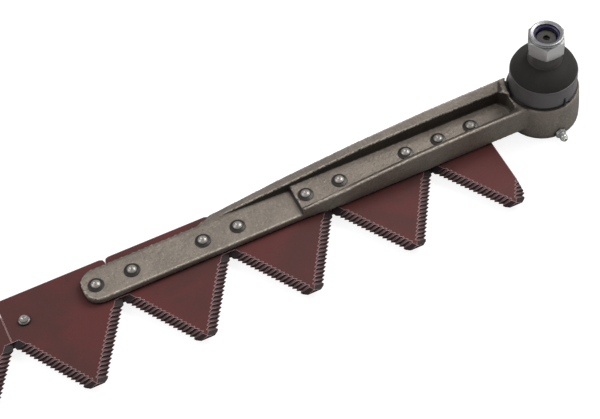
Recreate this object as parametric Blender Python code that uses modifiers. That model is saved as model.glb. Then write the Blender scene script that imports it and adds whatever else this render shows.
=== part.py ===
"""Knife of a sickle bar mower: triangular serrated sections riveted to a flat knife back,
with a forged head that carries the drive's ball joint.

Frame: origin on the ball joint's axis at the underside, +X from the knife towards the ball
joint, +Y towards the back edge of the sections, +Z up along the stud. Lengths in metres.
"""

import math

import bmesh
import bpy
from mathutils import Matrix, Vector

# Clearances between pieces
SEAT = 0.0003
RUNNING = 0.0004

# Knife: the row of sections and the bar under them
SECTION_COUNT = 12
SECTION_PITCH = 0.0762
SECTION_THICKNESS = 0.0027
SECTION_BACK_REACH = 0.0220
SECTION_FRONT_REACH = 0.0132
SECTION_TOOTH_LENGTH = 0.0530
SECTION_NOSE_WIDTH = 0.0096
NOSE_CORNER_WIDTH = 0.0030
NOSE_CORNER_RISE = 0.0022
HEEL_INSET = 0.0011
HEEL_LENGTH = 0.0040
SECTION_CORNER_RADIUS = 0.0030
CUT_END_OVERHANG = 0.0103
RIVET_LINE_Y = -0.0028
RIVET_SPACING = 0.0508
END_RIVET_SPACING = 0.0254
BALL_TO_LAST_RIVET = 0.0591
BACK_WIDTH = 0.0220
BACK_THICKNESS = 0.0060
BACK_END_SETBACK = 0.0010

# Cutting edges of a section
BEVEL_WIDTH = 0.0057
BEVEL_RUNOUT = 0.0008
EDGE_SETBACK = 0.0001
GROOVE_COUNT = 16
GROOVE_DEPTH = 0.00075
SMOOTH_HEEL = 0.0040
SMOOTH_NOSE = 0.0035

# Rivets
RIVET_RADIUS = 0.0027
DOME_RADIUS = 0.00425
DOME_HEIGHT = 0.0030
CONE_HEAD_RADIUS = 0.0039
CONE_HEAD_TIP_RADIUS = 0.00265
CONE_HEAD_HEIGHT = 0.0030
COUNTERSINK_RADIUS = 0.0046
COUNTERSINK_DEPTH = 0.0022
RIVET_SIDES = 9

# Forged arm of the knife head, with the sections under it and under its channel
SECTIONS_UNDER_ARM = 4
SECTIONS_UNDER_CHANNEL = 2
PLATE_THICKNESS = 0.0057
PLATE_FRONT_REACH = 0.0117
PLATE_BACK_REACH = 0.0138
PLATE_CORNER_RADIUS = 0.0100
PLATE_END_REACH = 0.0090
ARM_FRONT_REACH = 0.0137
ARM_BACK_SETBACK = 0.0042
REAR_RIB_LEAD = 0.0570
REAR_RIB_HEIGHT = 0.0146
REAR_RIB_CURVE = 2.0
REAR_RIB_WIDTH = 0.0100
RIB_FOOT_WIDTH = 0.0045
FULL_WIDTH_RUN = 0.0110
FRONT_WIDENING = 0.0300
FLOOR_STEP_LEAD = 0.0069
FLOOR_RISE = 0.0040
FRONT_RIB_LAG = 0.0030
FRONT_RIB_FOOT = 0.0016
FRONT_RIB_HEIGHT = 0.0121
FRONT_RIB_CURVE = 2.6
FRONT_RIB_WIDTH = 0.0035
POCKET_WALL = 0.0015
POCKET_CORNER_RADIUS = 0.0070
ARM_EDGE_BEVEL = 0.0008

# Ball housing
HOUSING_WALL = 0.0097
HOUSING_DRAFT = 0.0012
HOUSING_RIM_HEIGHT = 0.0030
HOUSING_BASE_HEIGHT = 0.0095
HOUSING_CHAMFER = 0.0014
HOUSING_ROOF = 0.0028
TILT_ROOM = 0.0042
OPENING_FLARE = 0.0012
BOOT_SPACE_GAP = 0.0006
BOOT_SPACE_DEPTH = 0.0010

# Inside the housing, from the bottom up
RING_LIP = 0.0009
RING_THICKNESS = 0.0010
RING_BITE = 0.0011
RING_WIDTH = 0.0027
RING_GAP_ANGLE = 40.0
CAP_THICKNESS = 0.0018
SPRING_HEIGHT = 0.0024
SPRING_THICKNESS = 0.0010
SPRING_WIDTH = 0.0070
SPRING_PLAY = 0.0015
BALL_RADIUS = 0.0127
BALL_BELOW_SEAT = 0.0008
SEAT_WALL = 0.0048
SEAT_SPLIT = 0.0003
LOWER_SEAT_MOUTH = 0.0060
UPPER_SEAT_HEIGHT = 0.0068

# Ball stud and its nut
STUD_NECK_RADIUS = 0.0070
STUD_SHOULDER_RADIUS = 0.0089
STUD_SHOULDER_RISE = 0.0007
STUD_TAPER_DROP = 0.0026
STUD_THREAD_RADIUS = 0.0078
STUD_END_GAP = 0.0010
STUD_CHAMFER = 0.0010
CENTRE_HOLE_RADIUS = 0.0022
CENTRE_HOLE_DEPTH = 0.0040
NUT_ACROSS_FLATS = 0.0240
NUT_HEX_HEIGHT = 0.0122
NUT_COLLAR_HEIGHT = 0.0031
NUT_COLLAR_INSET = 0.0002
NUT_COLLAR_WALL = 0.0017
NUT_TURN_ANGLE = -27.5
INSERT_HEIGHT = 0.0033
INSERT_RECESS = 0.0008

# Rubber dust boot and its rings
BOOT_SETBACK = 0.0020
BOOT_WALL = 0.0021
BOOT_BAND_HEIGHT = 0.0170
BOOT_DOME_HEIGHT = 0.0114
BOOT_DOME_CURVE = 1.4
BOOT_NECK_WALL = 0.0029
BOOT_NECK_LENGTH = 0.0095
BOOT_GROOVE_RISE = 0.0015
BASE_RING_WIRE = 0.0008
BASE_RING_GAP_ANGLE = 10.0
BASE_RING_GAP_AT = -42.0
NECK_RING_WALL = 0.0012
NECK_RING_HEIGHT = 0.0040
NECK_RING_RISE = 0.0016

# Grease nipple in the front of the housing
NIPPLE_ANGLE = -90.0
NIPPLE_RISE = 0.0007
NIPPLE_THREAD_RADIUS = 0.0029
NIPPLE_THREAD_FLOOR = 0.0023
NIPPLE_HEX_ACROSS = 0.0070
NIPPLE_HEX_LENGTH = 0.0022
NIPPLE_WALL = 0.0007
NIPPLE_HEAD_STEP = 0.0011
NIPPLE_LENGTH = 0.0086
NIPPLE_LIP = 0.0010
NIPPLE_BORE_RADIUS = 0.0014
NIPPLE_MOUTH_RADIUS = 0.0008
NIPPLE_SPRING_WIRE = 0.00020
NIPPLE_SPRING_TURNS = 4
NIPPLE_SPRING_POINTS = 6
GREASE_WAY_RADIUS = 0.0010

# Facets of round shapes
ROUND_STEPS = 36
BOOT_STEPS = 21
NUT_STEPS = 24
WIRE_STEPS = 20
JOINT_STEPS = 20
SMALL_STEPS = 12
CORNER_STEPS = 4
RIB_STEPS = 4
DOME_STEPS = 3
BOOT_DOME_STEPS = 4
BALL_STEPS = 8
SEAT_STEPS = 4
BALL_CAP_ANGLE = 60.0
HEXAGON_SIDES = 6

# Places along the knife worked out from the sizes above
RIVET_INSET = (SECTION_PITCH - RIVET_SPACING) / 2
END_SECTION_LEFT = -BALL_TO_LAST_RIVET - END_RIVET_SPACING - RIVET_INSET
KNIFE_LEFT = END_SECTION_LEFT - (SECTION_COUNT - 1) * SECTION_PITCH
KNIFE_RIGHT = -BALL_TO_LAST_RIVET + CUT_END_OVERHANG
SECOND_RIVET = RIVET_INSET + RIVET_SPACING
HEEL_X = (SECTION_PITCH - SEAT) / 2 - HEEL_INSET
ARM_END = END_SECTION_LEFT - SECTIONS_UNDER_ARM * SECTION_PITCH + SECOND_RIVET - PLATE_END_REACH
FLOOR_STEP = END_SECTION_LEFT - SECTIONS_UNDER_CHANNEL * SECTION_PITCH + SECOND_RIVET - FLOOR_STEP_LEAD
REAR_RIB_START = FLOOR_STEP - REAR_RIB_LEAD

# Places across the knife
NOTCH_Y = RIVET_LINE_Y - SECTION_FRONT_REACH
TIP_Y = NOTCH_Y - SECTION_TOOTH_LENGTH
BACK_EDGE_Y = RIVET_LINE_Y + SECTION_BACK_REACH
PLATE_FRONT_Y = RIVET_LINE_Y - PLATE_FRONT_REACH
PLATE_BACK_Y = RIVET_LINE_Y + PLATE_BACK_REACH
ARM_FRONT_Y = RIVET_LINE_Y - ARM_FRONT_REACH
ARM_BACK_Y = BACK_EDGE_Y - ARM_BACK_SETBACK
RIVET_HOLE_RADIUS = RIVET_RADIUS + SEAT

# Radii about the ball's axis
SOCKET_RADIUS = BALL_RADIUS + RUNNING
HOUSING_BORE_RADIUS = BALL_RADIUS + SEAT_WALL
HOUSING_RADIUS = HOUSING_BORE_RADIUS + HOUSING_WALL
HOUSING_RIM_RADIUS = HOUSING_RADIUS - HOUSING_DRAFT
ROOF_OPENING_RADIUS = STUD_NECK_RADIUS + TILT_ROOM
POCKET_END = -HOUSING_RIM_RADIUS - POCKET_WALL
RING_OUTER_RADIUS = HOUSING_BORE_RADIUS + RING_BITE
RING_INNER_RADIUS = RING_OUTER_RADIUS - RING_WIDTH
CAP_BOSS_RADIUS = RING_INNER_RADIUS - RUNNING
SPRING_OUTER_RADIUS = HOUSING_BORE_RADIUS - SPRING_PLAY
SPRING_INNER_RADIUS = SPRING_OUTER_RADIUS - SPRING_WIDTH
BOOT_RADIUS = HOUSING_RIM_RADIUS - BOOT_SETBACK
BOOT_BORE_RADIUS = STUD_SHOULDER_RADIUS + RUNNING
BOOT_NECK_RADIUS = STUD_SHOULDER_RADIUS + BOOT_NECK_WALL
NUT_COLLAR_RADIUS = NUT_ACROSS_FLATS / 2 - NUT_COLLAR_INSET
INSERT_OUTER_RADIUS = NUT_COLLAR_RADIUS - NUT_COLLAR_WALL
INSERT_INNER_RADIUS = STUD_THREAD_RADIUS - SEAT

# Heights of the knife and the arm
SECTION_BOTTOM_Z = BACK_THICKNESS + SEAT
SECTION_TOP_Z = SECTION_BOTTOM_Z + SECTION_THICKNESS
ARM_BOTTOM_Z = SECTION_TOP_Z + SEAT
PLATE_TOP_Z = ARM_BOTTOM_Z + PLATE_THICKNESS
FLOOR_Z = PLATE_TOP_Z + FLOOR_RISE

# Heights of the ball joint, from the ring at the bottom to the nut
RING_BOTTOM_Z = RING_LIP + SEAT
RING_TOP_Z = RING_BOTTOM_Z + RING_THICKNESS
CAP_BOSS_DEPTH = RING_TOP_Z + SEAT
CAP_TOP_Z = CAP_BOSS_DEPTH + CAP_THICKNESS
SPRING_BOTTOM_Z = CAP_TOP_Z + SEAT
LOWER_SEAT_Z = SPRING_BOTTOM_Z + SPRING_HEIGHT + SEAT
BALL_CENTRE_Z = LOWER_SEAT_Z + BALL_RADIUS - BALL_BELOW_SEAT
UPPER_SEAT_TOP_Z = BALL_CENTRE_Z + UPPER_SEAT_HEIGHT
ROOF_UNDER_Z = UPPER_SEAT_TOP_Z + SEAT
HOUSING_HEIGHT = ROOF_UNDER_Z + HOUSING_ROOF
BOOT_BOTTOM_Z = HOUSING_HEIGHT + SEAT
BOOT_GROOVE_Z = BOOT_BOTTOM_Z + BOOT_GROOVE_RISE
BOOT_BAND_TOP_Z = BOOT_BOTTOM_Z + BOOT_BAND_HEIGHT
STUD_SHOULDER_Z = BOOT_BAND_TOP_Z + STUD_SHOULDER_RISE
BOOT_NECK_Z = BOOT_BAND_TOP_Z + BOOT_DOME_HEIGHT
NECK_RING_Z = BOOT_NECK_Z + NECK_RING_RISE
NECK_RING_TOP_Z = NECK_RING_Z + NECK_RING_HEIGHT
BOOT_NECK_TOP_Z = BOOT_NECK_Z + BOOT_NECK_LENGTH
NUT_BOTTOM_Z = BOOT_NECK_TOP_Z + SEAT
STUD_TAPER_TOP_Z = NUT_BOTTOM_Z - STUD_TAPER_DROP
NUT_HEX_TOP_Z = NUT_BOTTOM_Z + NUT_HEX_HEIGHT
NUT_TOP_Z = NUT_HEX_TOP_Z + NUT_COLLAR_HEIGHT
INSERT_TOP_Z = NUT_TOP_Z - INSERT_RECESS
INSERT_BOTTOM_Z = INSERT_TOP_Z - INSERT_HEIGHT
STUD_TOP_Z = INSERT_BOTTOM_Z - STUD_END_GAP

# Grease nipple's own sizes
NIPPLE_Z = CAP_TOP_Z + NIPPLE_RISE
NIPPLE_THREAD_LENGTH = HOUSING_WALL - NIPPLE_THREAD_FLOOR
NIPPLE_NECK_RADIUS = NIPPLE_BORE_RADIUS + NIPPLE_WALL
NIPPLE_HEAD_RADIUS = NIPPLE_NECK_RADIUS + NIPPLE_HEAD_STEP
NIPPLE_BALL_RADIUS = NIPPLE_BORE_RADIUS - SEAT

# Reach of the cutters past the part
TALL = 0.12
WIDE = 0.10


def clear_scene():
    """Remove what a new Blender scene holds."""
    for obj in list(bpy.data.objects):
        bpy.data.objects.remove(obj, do_unlink=True)


def new_collection(name):
    """Make a collection under the scene's own."""
    made = bpy.data.collections.new(name)
    bpy.context.scene.collection.children.link(made)
    return made


def new_material(name, colour, roughness, metallic):
    """Make a Principled material of one colour."""
    made = bpy.data.materials.new(name)
    made.use_nodes = True
    shader = made.node_tree.nodes["Principled BSDF"]
    shader.inputs["Base Color"].default_value = (*colour, 1.0)
    shader.inputs["Roughness"].default_value = roughness
    shader.inputs["Metallic"].default_value = metallic
    made.diffuse_color = (*colour, 1.0)
    return made


def new_object(name, mesh, collection, material=None):
    """Put a mesh into a collection as an object."""
    made = bpy.data.objects.new(name, mesh)
    collection.objects.link(made)
    if material is not None:
        mesh.materials.clear()
        mesh.materials.append(material)
    return made


def as_cutter(obj):
    """Mark an object as a cutter, which isn't part of the model."""
    obj.hide_render = True
    obj.display_type = "WIRE"
    return obj


def baked(obj, collection, material=None, weld=0.0):
    """Replace an object by the plain mesh that it evaluates to, in world space."""
    bpy.context.view_layer.update()
    depsgraph = bpy.context.evaluated_depsgraph_get()
    mesh = bpy.data.meshes.new_from_object(obj.evaluated_get(depsgraph))
    mesh.transform(obj.matrix_world)
    if weld > 0.0:
        work = bmesh.new()
        work.from_mesh(mesh)
        bmesh.ops.remove_doubles(work, verts=work.verts, dist=weld)
        bmesh.ops.recalc_face_normals(work, faces=work.faces)
        work.to_mesh(mesh)
        work.free()
    name = obj.name
    bpy.data.objects.remove(obj, do_unlink=True)
    mesh.name = name
    return new_object(name, mesh, collection, material)


def slab(name, outline, low, high, collection):
    """Extrude a closed XY outline between two heights."""
    curve = bpy.data.curves.new(name, "CURVE")
    curve.dimensions = "2D"
    curve.fill_mode = "BOTH"
    curve.extrude = (high - low) / 2
    spline = curve.splines.new("POLY")
    spline.points.add(len(outline) - 1)
    for point, (x, y) in zip(spline.points, outline):
        point.co = (x, y, 0.0, 1.0)
    spline.use_cyclic_u = True
    obj = bpy.data.objects.new(name, curve)
    collection.objects.link(obj)
    obj.location.z = (low + high) / 2
    return baked(obj, collection, weld=0.00001)


def side_slab(name, outline, front, back, collection):
    """Extrude a closed XZ outline between two Y positions."""
    obj = slab(name, outline, -back, -front, collection)
    obj.data.transform(Matrix.Rotation(math.radians(90.0), 4, "X"))
    return obj


def rounded(corners, steps=CORNER_STEPS):
    """Round the corners of an outline: each corner is x, y and its radius."""
    points = []
    count = len(corners)
    for index, (x, y, radius) in enumerate(corners):
        here = Vector((x, y))
        if radius <= 0.0:
            points.append((x, y))
            continue
        before = Vector(corners[index - 1][:2]) - here
        after = Vector(corners[(index + 1) % count][:2]) - here
        half = before.angle(after) / 2
        middle = here + (before.normalized() + after.normalized()).normalized() * radius / math.sin(half)
        start = here + before.normalized() * radius / math.tan(half) - middle
        turn = start.angle_signed(here + after.normalized() * radius / math.tan(half) - middle)
        for step in range(steps + 1):
            spot = middle + Matrix.Rotation(-turn * step / steps, 2) @ start
            points.append((spot.x, spot.y))
    return points


def turned(name, profile, collection, steps=JOINT_STEPS, material=None):
    """Turn an RZ profile about the Z axis. It runs down the outer side."""
    mesh = bpy.data.meshes.new(name)
    closed = profile[0][0] > 0.0
    last = len(profile) - 1
    edges = [(index, index + 1) for index in range(last)]
    if closed:
        edges.append((last, 0))
    mesh.from_pydata([(radius, 0.0, height) for radius, height in profile], edges, [])
    obj = new_object(name, mesh, collection, material)
    screw = obj.modifiers.new("Turn", "SCREW")
    screw.steps = steps
    screw.render_steps = steps
    screw.use_merge_vertices = True
    screw.merge_threshold = 0.00001
    screw.use_smooth_shade = True
    return obj


def cylinder(name, radius, low, high, collection, steps=JOINT_STEPS):
    """Make a turned cylinder along Z."""
    return turned(name, [(0.0, high), (radius, high), (radius, low), (0.0, low)], collection, steps)


def box(name, low, high, collection):
    """Make a box between two corners."""
    work = bmesh.new()
    bmesh.ops.create_cube(work, size=1.0)
    size = [high[axis] - low[axis] for axis in range(3)]
    middle = [(high[axis] + low[axis]) / 2 for axis in range(3)]
    bmesh.ops.transform(work, matrix=Matrix.LocRotScale(middle, None, size), verts=work.verts)
    mesh = bpy.data.meshes.new(name)
    work.to_mesh(mesh)
    work.free()
    return new_object(name, mesh, collection)


def prism(name, corner, low, high, collection):
    """Make a hexagonal prism along Z, given the distance from its axis to a corner."""
    work = bmesh.new()
    bmesh.ops.create_cone(work, cap_ends=True, segments=HEXAGON_SIDES, radius1=corner, radius2=corner,
                          depth=high - low)
    bmesh.ops.translate(work, verts=work.verts, vec=(0.0, 0.0, (low + high) / 2))
    mesh = bpy.data.meshes.new(name)
    work.to_mesh(mesh)
    work.free()
    return new_object(name, mesh, collection)


def combine(obj, other, operation):
    """Add a Boolean modifier that works with another object."""
    modifier = obj.modifiers.new(other.name, "BOOLEAN")
    modifier.operation = operation
    modifier.solver = "EXACT"
    modifier.object = other
    as_cutter(other)


def join_meshes(name, objects, collection):
    """Put the meshes of several separate objects into one object."""
    work = bmesh.new()
    for obj in objects:
        plain = baked(obj, collection)
        work.from_mesh(plain.data)
        bpy.data.objects.remove(plain, do_unlink=True)
    mesh = bpy.data.meshes.new(name)
    work.to_mesh(mesh)
    work.free()
    return new_object(name, mesh, collection)


def smooth(obj, angle=35.0):
    """Shade round faces smooth and keep the corners sharp."""
    obj.data.shade_smooth()
    obj.data.set_sharp_from_angle(angle=math.radians(angle))


def rivet_places():
    """List the rivets' X positions from the free end."""
    places = []
    for number in range(SECTION_COUNT):
        first = KNIFE_LEFT + number * SECTION_PITCH + RIVET_INSET
        spacing = RIVET_SPACING if number < SECTION_COUNT - 1 else END_RIVET_SPACING
        places += [first, first + spacing]
    return places


def edge_cutter(cutters):
    """Cutter for the left edge of a section centred on X = 0: its ground bevel and the grooves in it.

    The outline lies across the knife, with its zero in the bevel's plane, and runs along the stroke.
    """
    heel = Vector((-HEEL_X, NOTCH_Y - HEEL_LENGTH))
    nose = Vector((-SECTION_NOSE_WIDTH / 2 - NOSE_CORNER_WIDTH, TIP_Y + NOSE_CORNER_RISE))
    along = (nose - heel).normalized()
    inward = Vector((-along.y, along.x))
    climb = inward * SECTION_THICKNESS / (BEVEL_WIDTH - EDGE_SETBACK)
    foot = heel + inward * EDGE_SETBACK
    first = NOTCH_Y - SMOOTH_HEEL
    last = TIP_Y + SMOOTH_NOSE
    pitch = (first - last) / GROOVE_COUNT
    outline = [(NOTCH_Y + BEVEL_RUNOUT, 0.0)]
    for number in range(GROOVE_COUNT):
        start = first - number * pitch
        outline += [(start, 0.0), (start - pitch / 2, -GROOVE_DEPTH)]
    past = TIP_Y - SECTION_NOSE_WIDTH
    above = SECTION_THICKNESS + SECTION_TOOTH_LENGTH
    outline += [(last, 0.0), (past, 0.0), (past, above), (NOTCH_Y + BEVEL_RUNOUT, above)]
    outline = [(y - foot.y, lift) for y, lift in outline]
    cutter = slab("edge_cutter", outline, -SECTION_PITCH / 2, SECTION_PITCH, cutters)
    across = Vector((0.0, 1.0, climb.y))
    stroke = Vector((1.0, 0.0, climb.x))
    shear = Matrix((across, Vector((0.0, 0.0, 1.0)), stroke)).transposed().to_4x4()
    cutter.data.transform(Matrix.Translation((foot.x, foot.y, SECTION_BOTTOM_Z)) @ shear)
    return cutter


def section_blank(cutters):
    """Bevelled and serrated section without holes, centred on X = 0."""
    side = (SECTION_PITCH - SEAT) / 2
    nose = SECTION_NOSE_WIDTH / 2
    half = [(nose, TIP_Y, 0.0), (nose + NOSE_CORNER_WIDTH, TIP_Y + NOSE_CORNER_RISE, 0.0),
            (HEEL_X, NOTCH_Y - HEEL_LENGTH, 0.0), (side, NOTCH_Y, 0.0),
            (side, BACK_EDGE_Y, SECTION_CORNER_RADIUS)]
    corners = half + [(-x, y, radius) for x, y, radius in half[::-1]]
    blank = slab("section_blank", rounded(corners, 2), SECTION_BOTTOM_Z, SECTION_TOP_Z, cutters)
    left = edge_cutter(cutters)
    right = new_object("other_edge_cutter", left.data.copy(), cutters)
    right.data.transform(Matrix.Scale(-1.0, 4, (1.0, 0.0, 0.0)))
    right.data.flip_normals()
    combine(blank, left, "DIFFERENCE")
    combine(blank, right, "DIFFERENCE")
    return baked(blank, cutters, weld=0.000001)


def rivet_hole(name, x, cutters, countersunk=False):
    """Cutter for one rivet hole through the whole stack."""
    hole = RIVET_HOLE_RADIUS
    top = FLOOR_Z + DOME_HEIGHT
    profile = [(0.0, top), (hole, top)]
    if countersunk:
        wide = COUNTERSINK_RADIUS + SEAT
        profile += [(hole, COUNTERSINK_DEPTH), (wide, 0.0), (wide, -BACK_THICKNESS), (0.0, -BACK_THICKNESS)]
    else:
        profile += [(hole, -BACK_THICKNESS), (0.0, -BACK_THICKNESS)]
    made = turned(name, profile, cutters, RIVET_SIDES)
    made.location = (x, RIVET_LINE_Y, 0.0)
    return made


def make_sections(parts, cutters, steel):
    """Sections side by side; the last one is sheared off beside the ball housing."""
    blank = section_blank(cutters)
    drilled = new_object("section_full", blank.data.copy(), cutters)
    for place in (-RIVET_SPACING / 2, RIVET_SPACING / 2):
        combine(drilled, rivet_hole("section_hole", place, cutters), "DIFFERENCE")
    full = baked(drilled, cutters, steel)
    full.data.set_sharp_from_angle(angle=math.radians(30.0))
    for number in range(SECTION_COUNT - 1):
        left = KNIFE_LEFT + number * SECTION_PITCH
        section = new_object("section_%02d" % (number + 1), full.data, parts)
        section.location.x = left + SECTION_PITCH / 2
    middle = END_SECTION_LEFT + SECTION_PITCH / 2
    end = new_object("section_%02d" % SECTION_COUNT, blank.data.copy(), parts, steel)
    end.data.transform(Matrix.Translation((middle, 0.0, 0.0)))
    for place in (-BALL_TO_LAST_RIVET - END_RIVET_SPACING, -BALL_TO_LAST_RIVET):
        combine(end, rivet_hole("end_section_hole", place, cutters), "DIFFERENCE")
    shear = box("shear", (KNIFE_RIGHT, -WIDE, -WIDE), (WIDE, WIDE, WIDE), cutters)
    combine(end, shear, "DIFFERENCE")
    bpy.data.objects.remove(full, do_unlink=True)
    bpy.data.objects.remove(blank, do_unlink=True)


def make_knife_back(parts, cutters, steel):
    """Flat bar under the sections, countersunk from below for every rivet."""
    low = (KNIFE_LEFT, RIVET_LINE_Y - BACK_WIDTH / 2, 0.0)
    high = (KNIFE_RIGHT - BACK_END_SETBACK, RIVET_LINE_Y + BACK_WIDTH / 2, BACK_THICKNESS)
    bar = box("knife_back", low, high, parts)
    bar.data.materials.append(steel)
    holes = [rivet_hole("back_hole", x, cutters, countersunk=True) for x in rivet_places()]
    combine(bar, join_meshes("back_holes", holes, cutters), "DIFFERENCE")


def rivet_profile(seat_z, domed):
    """Profile of a rivet whose head rests at a given height."""
    under = seat_z + SEAT
    if domed:
        turns = [math.pi / 2 * (1.0 - step / DOME_STEPS) for step in range(1, DOME_STEPS + 1)]
        head = [(0.0, under + DOME_HEIGHT)]
        head += [(DOME_RADIUS * math.cos(turn), under + DOME_HEIGHT * math.sin(turn)) for turn in turns]
    else:
        head = [(0.0, under + CONE_HEAD_HEIGHT), (CONE_HEAD_TIP_RADIUS, under + CONE_HEAD_HEIGHT),
                (CONE_HEAD_RADIUS, under)]
    return head + [(RIVET_RADIUS, under), (RIVET_RADIUS, COUNTERSINK_DEPTH + SEAT),
                   (COUNTERSINK_RADIUS - SEAT, SEAT), (0.0, SEAT)]


def make_rivets(parts, cutters, steel):
    """Rivets of three lengths: through bare sections, the plate and the channel floor."""
    kinds = {"section": rivet_profile(SECTION_TOP_Z, False), "plate": rivet_profile(PLATE_TOP_Z, True),
             "channel": rivet_profile(FLOOR_Z, True)}
    masters = {}
    for kind, profile in kinds.items():
        masters[kind] = baked(turned(kind + "_rivet", profile, cutters, RIVET_SIDES), cutters, steel)
        smooth(masters[kind], 40.0)
    for number, x in enumerate(rivet_places(), start=1):
        kind = "section" if x < ARM_END else "plate"
        if x > FLOOR_STEP:
            kind = "channel"
        rivet = new_object("rivet_%02d" % number, masters[kind].data, parts)
        rivet.location = (x, RIVET_LINE_Y, 0.0)
    for master in masters.values():
        bpy.data.objects.remove(master, do_unlink=True)


def arm_outline():
    """Plan of the forged arm, which ends inside the ball housing."""
    return rounded([
        (ARM_END, PLATE_FRONT_Y, PLATE_CORNER_RADIUS), (FLOOR_STEP, PLATE_FRONT_Y, 0.0),
        (FLOOR_STEP + FRONT_WIDENING, ARM_FRONT_Y, 0.0), (0.0, ARM_FRONT_Y, 0.0), (0.0, ARM_BACK_Y, 0.0),
        (REAR_RIB_START, ARM_BACK_Y, 0.0), (REAR_RIB_START - FULL_WIDTH_RUN, PLATE_BACK_Y, 0.0),
        (ARM_END, PLATE_BACK_Y, PLATE_CORNER_RADIUS)])


def rib_line(start, low, high, curve):
    """Top line of a rib: it climbs fast at first and runs level into the housing."""
    points = []
    for step in range(RIB_STEPS + 1):
        share = step / RIB_STEPS
        climb = 1.0 - (1.0 - share) ** curve
        points.append((start + (POCKET_END - start) * share, low + (high - low) * climb))
    return points


def arm_side():
    """Side view of the arm, with the rising line of its rear rib."""
    rib = rib_line(REAR_RIB_START, PLATE_TOP_Z, FLOOR_Z + REAR_RIB_HEIGHT, REAR_RIB_CURVE)
    line = [(ARM_END - WIDE, PLATE_TOP_Z), (ARM_END - WIDE, ARM_BOTTOM_Z), (0.0, ARM_BOTTOM_Z)]
    return line + [(0.0, FLOOR_Z + REAR_RIB_HEIGHT)] + rib[::-1]


def front_rib_space():
    """Side view of the space above the lower front rib."""
    start = FLOOR_STEP + FRONT_RIB_LAG
    low = FLOOR_Z + FRONT_RIB_FOOT
    high = FLOOR_Z + FRONT_RIB_HEIGHT
    line = [(FLOOR_STEP - WIDE, low)] + rib_line(start, low, high, FRONT_RIB_CURVE) + [(WIDE, high)]
    return line + [(WIDE, TALL), (FLOOR_STEP - WIDE, TALL)]


def make_arm(cutters):
    """Forged arm: plate, channel floor and the two ribs beside it."""
    arm = side_slab("arm", arm_side(), -WIDE, WIDE, cutters)
    combine(arm, slab("arm_plan", arm_outline(), 0.0, TALL, cutters), "INTERSECT")
    rib_foot = ARM_BACK_Y - RIB_FOOT_WIDTH
    floor_back = ARM_BACK_Y - REAR_RIB_WIDTH
    recess = [(ARM_END - WIDE, -WIDE), (FLOOR_STEP, -WIDE), (FLOOR_STEP, floor_back - SEAT),
              (REAR_RIB_START, rib_foot), (ARM_END - WIDE, rib_foot)]
    combine(arm, slab("plate_recess", recess, PLATE_TOP_Z, TALL, cutters), "DIFFERENCE")
    front = ARM_FRONT_Y + FRONT_RIB_WIDTH
    mouth = FLOOR_STEP - 2 * FLOOR_RISE
    pocket = rounded([(mouth, front, 0.0), (POCKET_END, front, POCKET_CORNER_RADIUS),
                      (POCKET_END, floor_back, POCKET_CORNER_RADIUS), (mouth, floor_back, 0.0)])
    combine(arm, slab("channel", pocket, FLOOR_Z, TALL, cutters), "DIFFERENCE")
    split = (ARM_FRONT_Y + ARM_BACK_Y) / 2
    combine(arm, side_slab("front_rib_space", front_rib_space(), -WIDE, split, cutters), "DIFFERENCE")
    arm = baked(arm, cutters, weld=0.000001)
    bevel = arm.modifiers.new("Forged edges", "BEVEL")
    bevel.width = ARM_EDGE_BEVEL
    bevel.segments = 1
    bevel.limit_method = "ANGLE"
    bevel.angle_limit = math.radians(40.0)
    return baked(arm, cutters)


def housing_profile():
    """Outer shape of the ball housing, solid inside: a turned rim on a body with a forging's draft."""
    rim_z = HOUSING_HEIGHT - HOUSING_RIM_HEIGHT
    edge = HOUSING_CHAMFER / 2
    return [(0.0, HOUSING_HEIGHT), (HOUSING_RIM_RADIUS - edge, HOUSING_HEIGHT),
            (HOUSING_RIM_RADIUS, HOUSING_HEIGHT - edge), (HOUSING_RIM_RADIUS, rim_z),
            (HOUSING_RADIUS, HOUSING_BASE_HEIGHT), (HOUSING_RADIUS, HOUSING_CHAMFER),
            (HOUSING_RADIUS - HOUSING_CHAMFER, 0.0), (0.0, 0.0)]


def cavity_profile():
    """Hollow of the ball housing, from the opening at the top to the cap's seat below."""
    groove = RING_OUTER_RADIUS + SEAT
    opening_top = HOUSING_HEIGHT + SEAT
    return [(0.0, opening_top), (ROOF_OPENING_RADIUS + OPENING_FLARE, opening_top),
            (ROOF_OPENING_RADIUS, HOUSING_HEIGHT - OPENING_FLARE), (ROOF_OPENING_RADIUS, ROOF_UNDER_Z),
            (HOUSING_BORE_RADIUS, ROOF_UNDER_Z), (HOUSING_BORE_RADIUS, CAP_BOSS_DEPTH),
            (groove, CAP_BOSS_DEPTH), (groove, RING_LIP), (HOUSING_BORE_RADIUS, RING_LIP),
            (HOUSING_BORE_RADIUS, -SEAT), (0.0, -SEAT)]


def nipple_frame():
    """Matrix that lays a Z axis along the nipple's, with its seat on the housing at zero."""
    angle = math.radians(NIPPLE_ANGLE)
    outward = Vector((math.cos(angle), math.sin(angle), 0.0))
    seat = outward * (HOUSING_RADIUS + SEAT) + Vector((0.0, 0.0, NIPPLE_Z))
    return Matrix.Translation(seat) @ outward.to_track_quat("Z", "Y").to_matrix().to_4x4()


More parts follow.
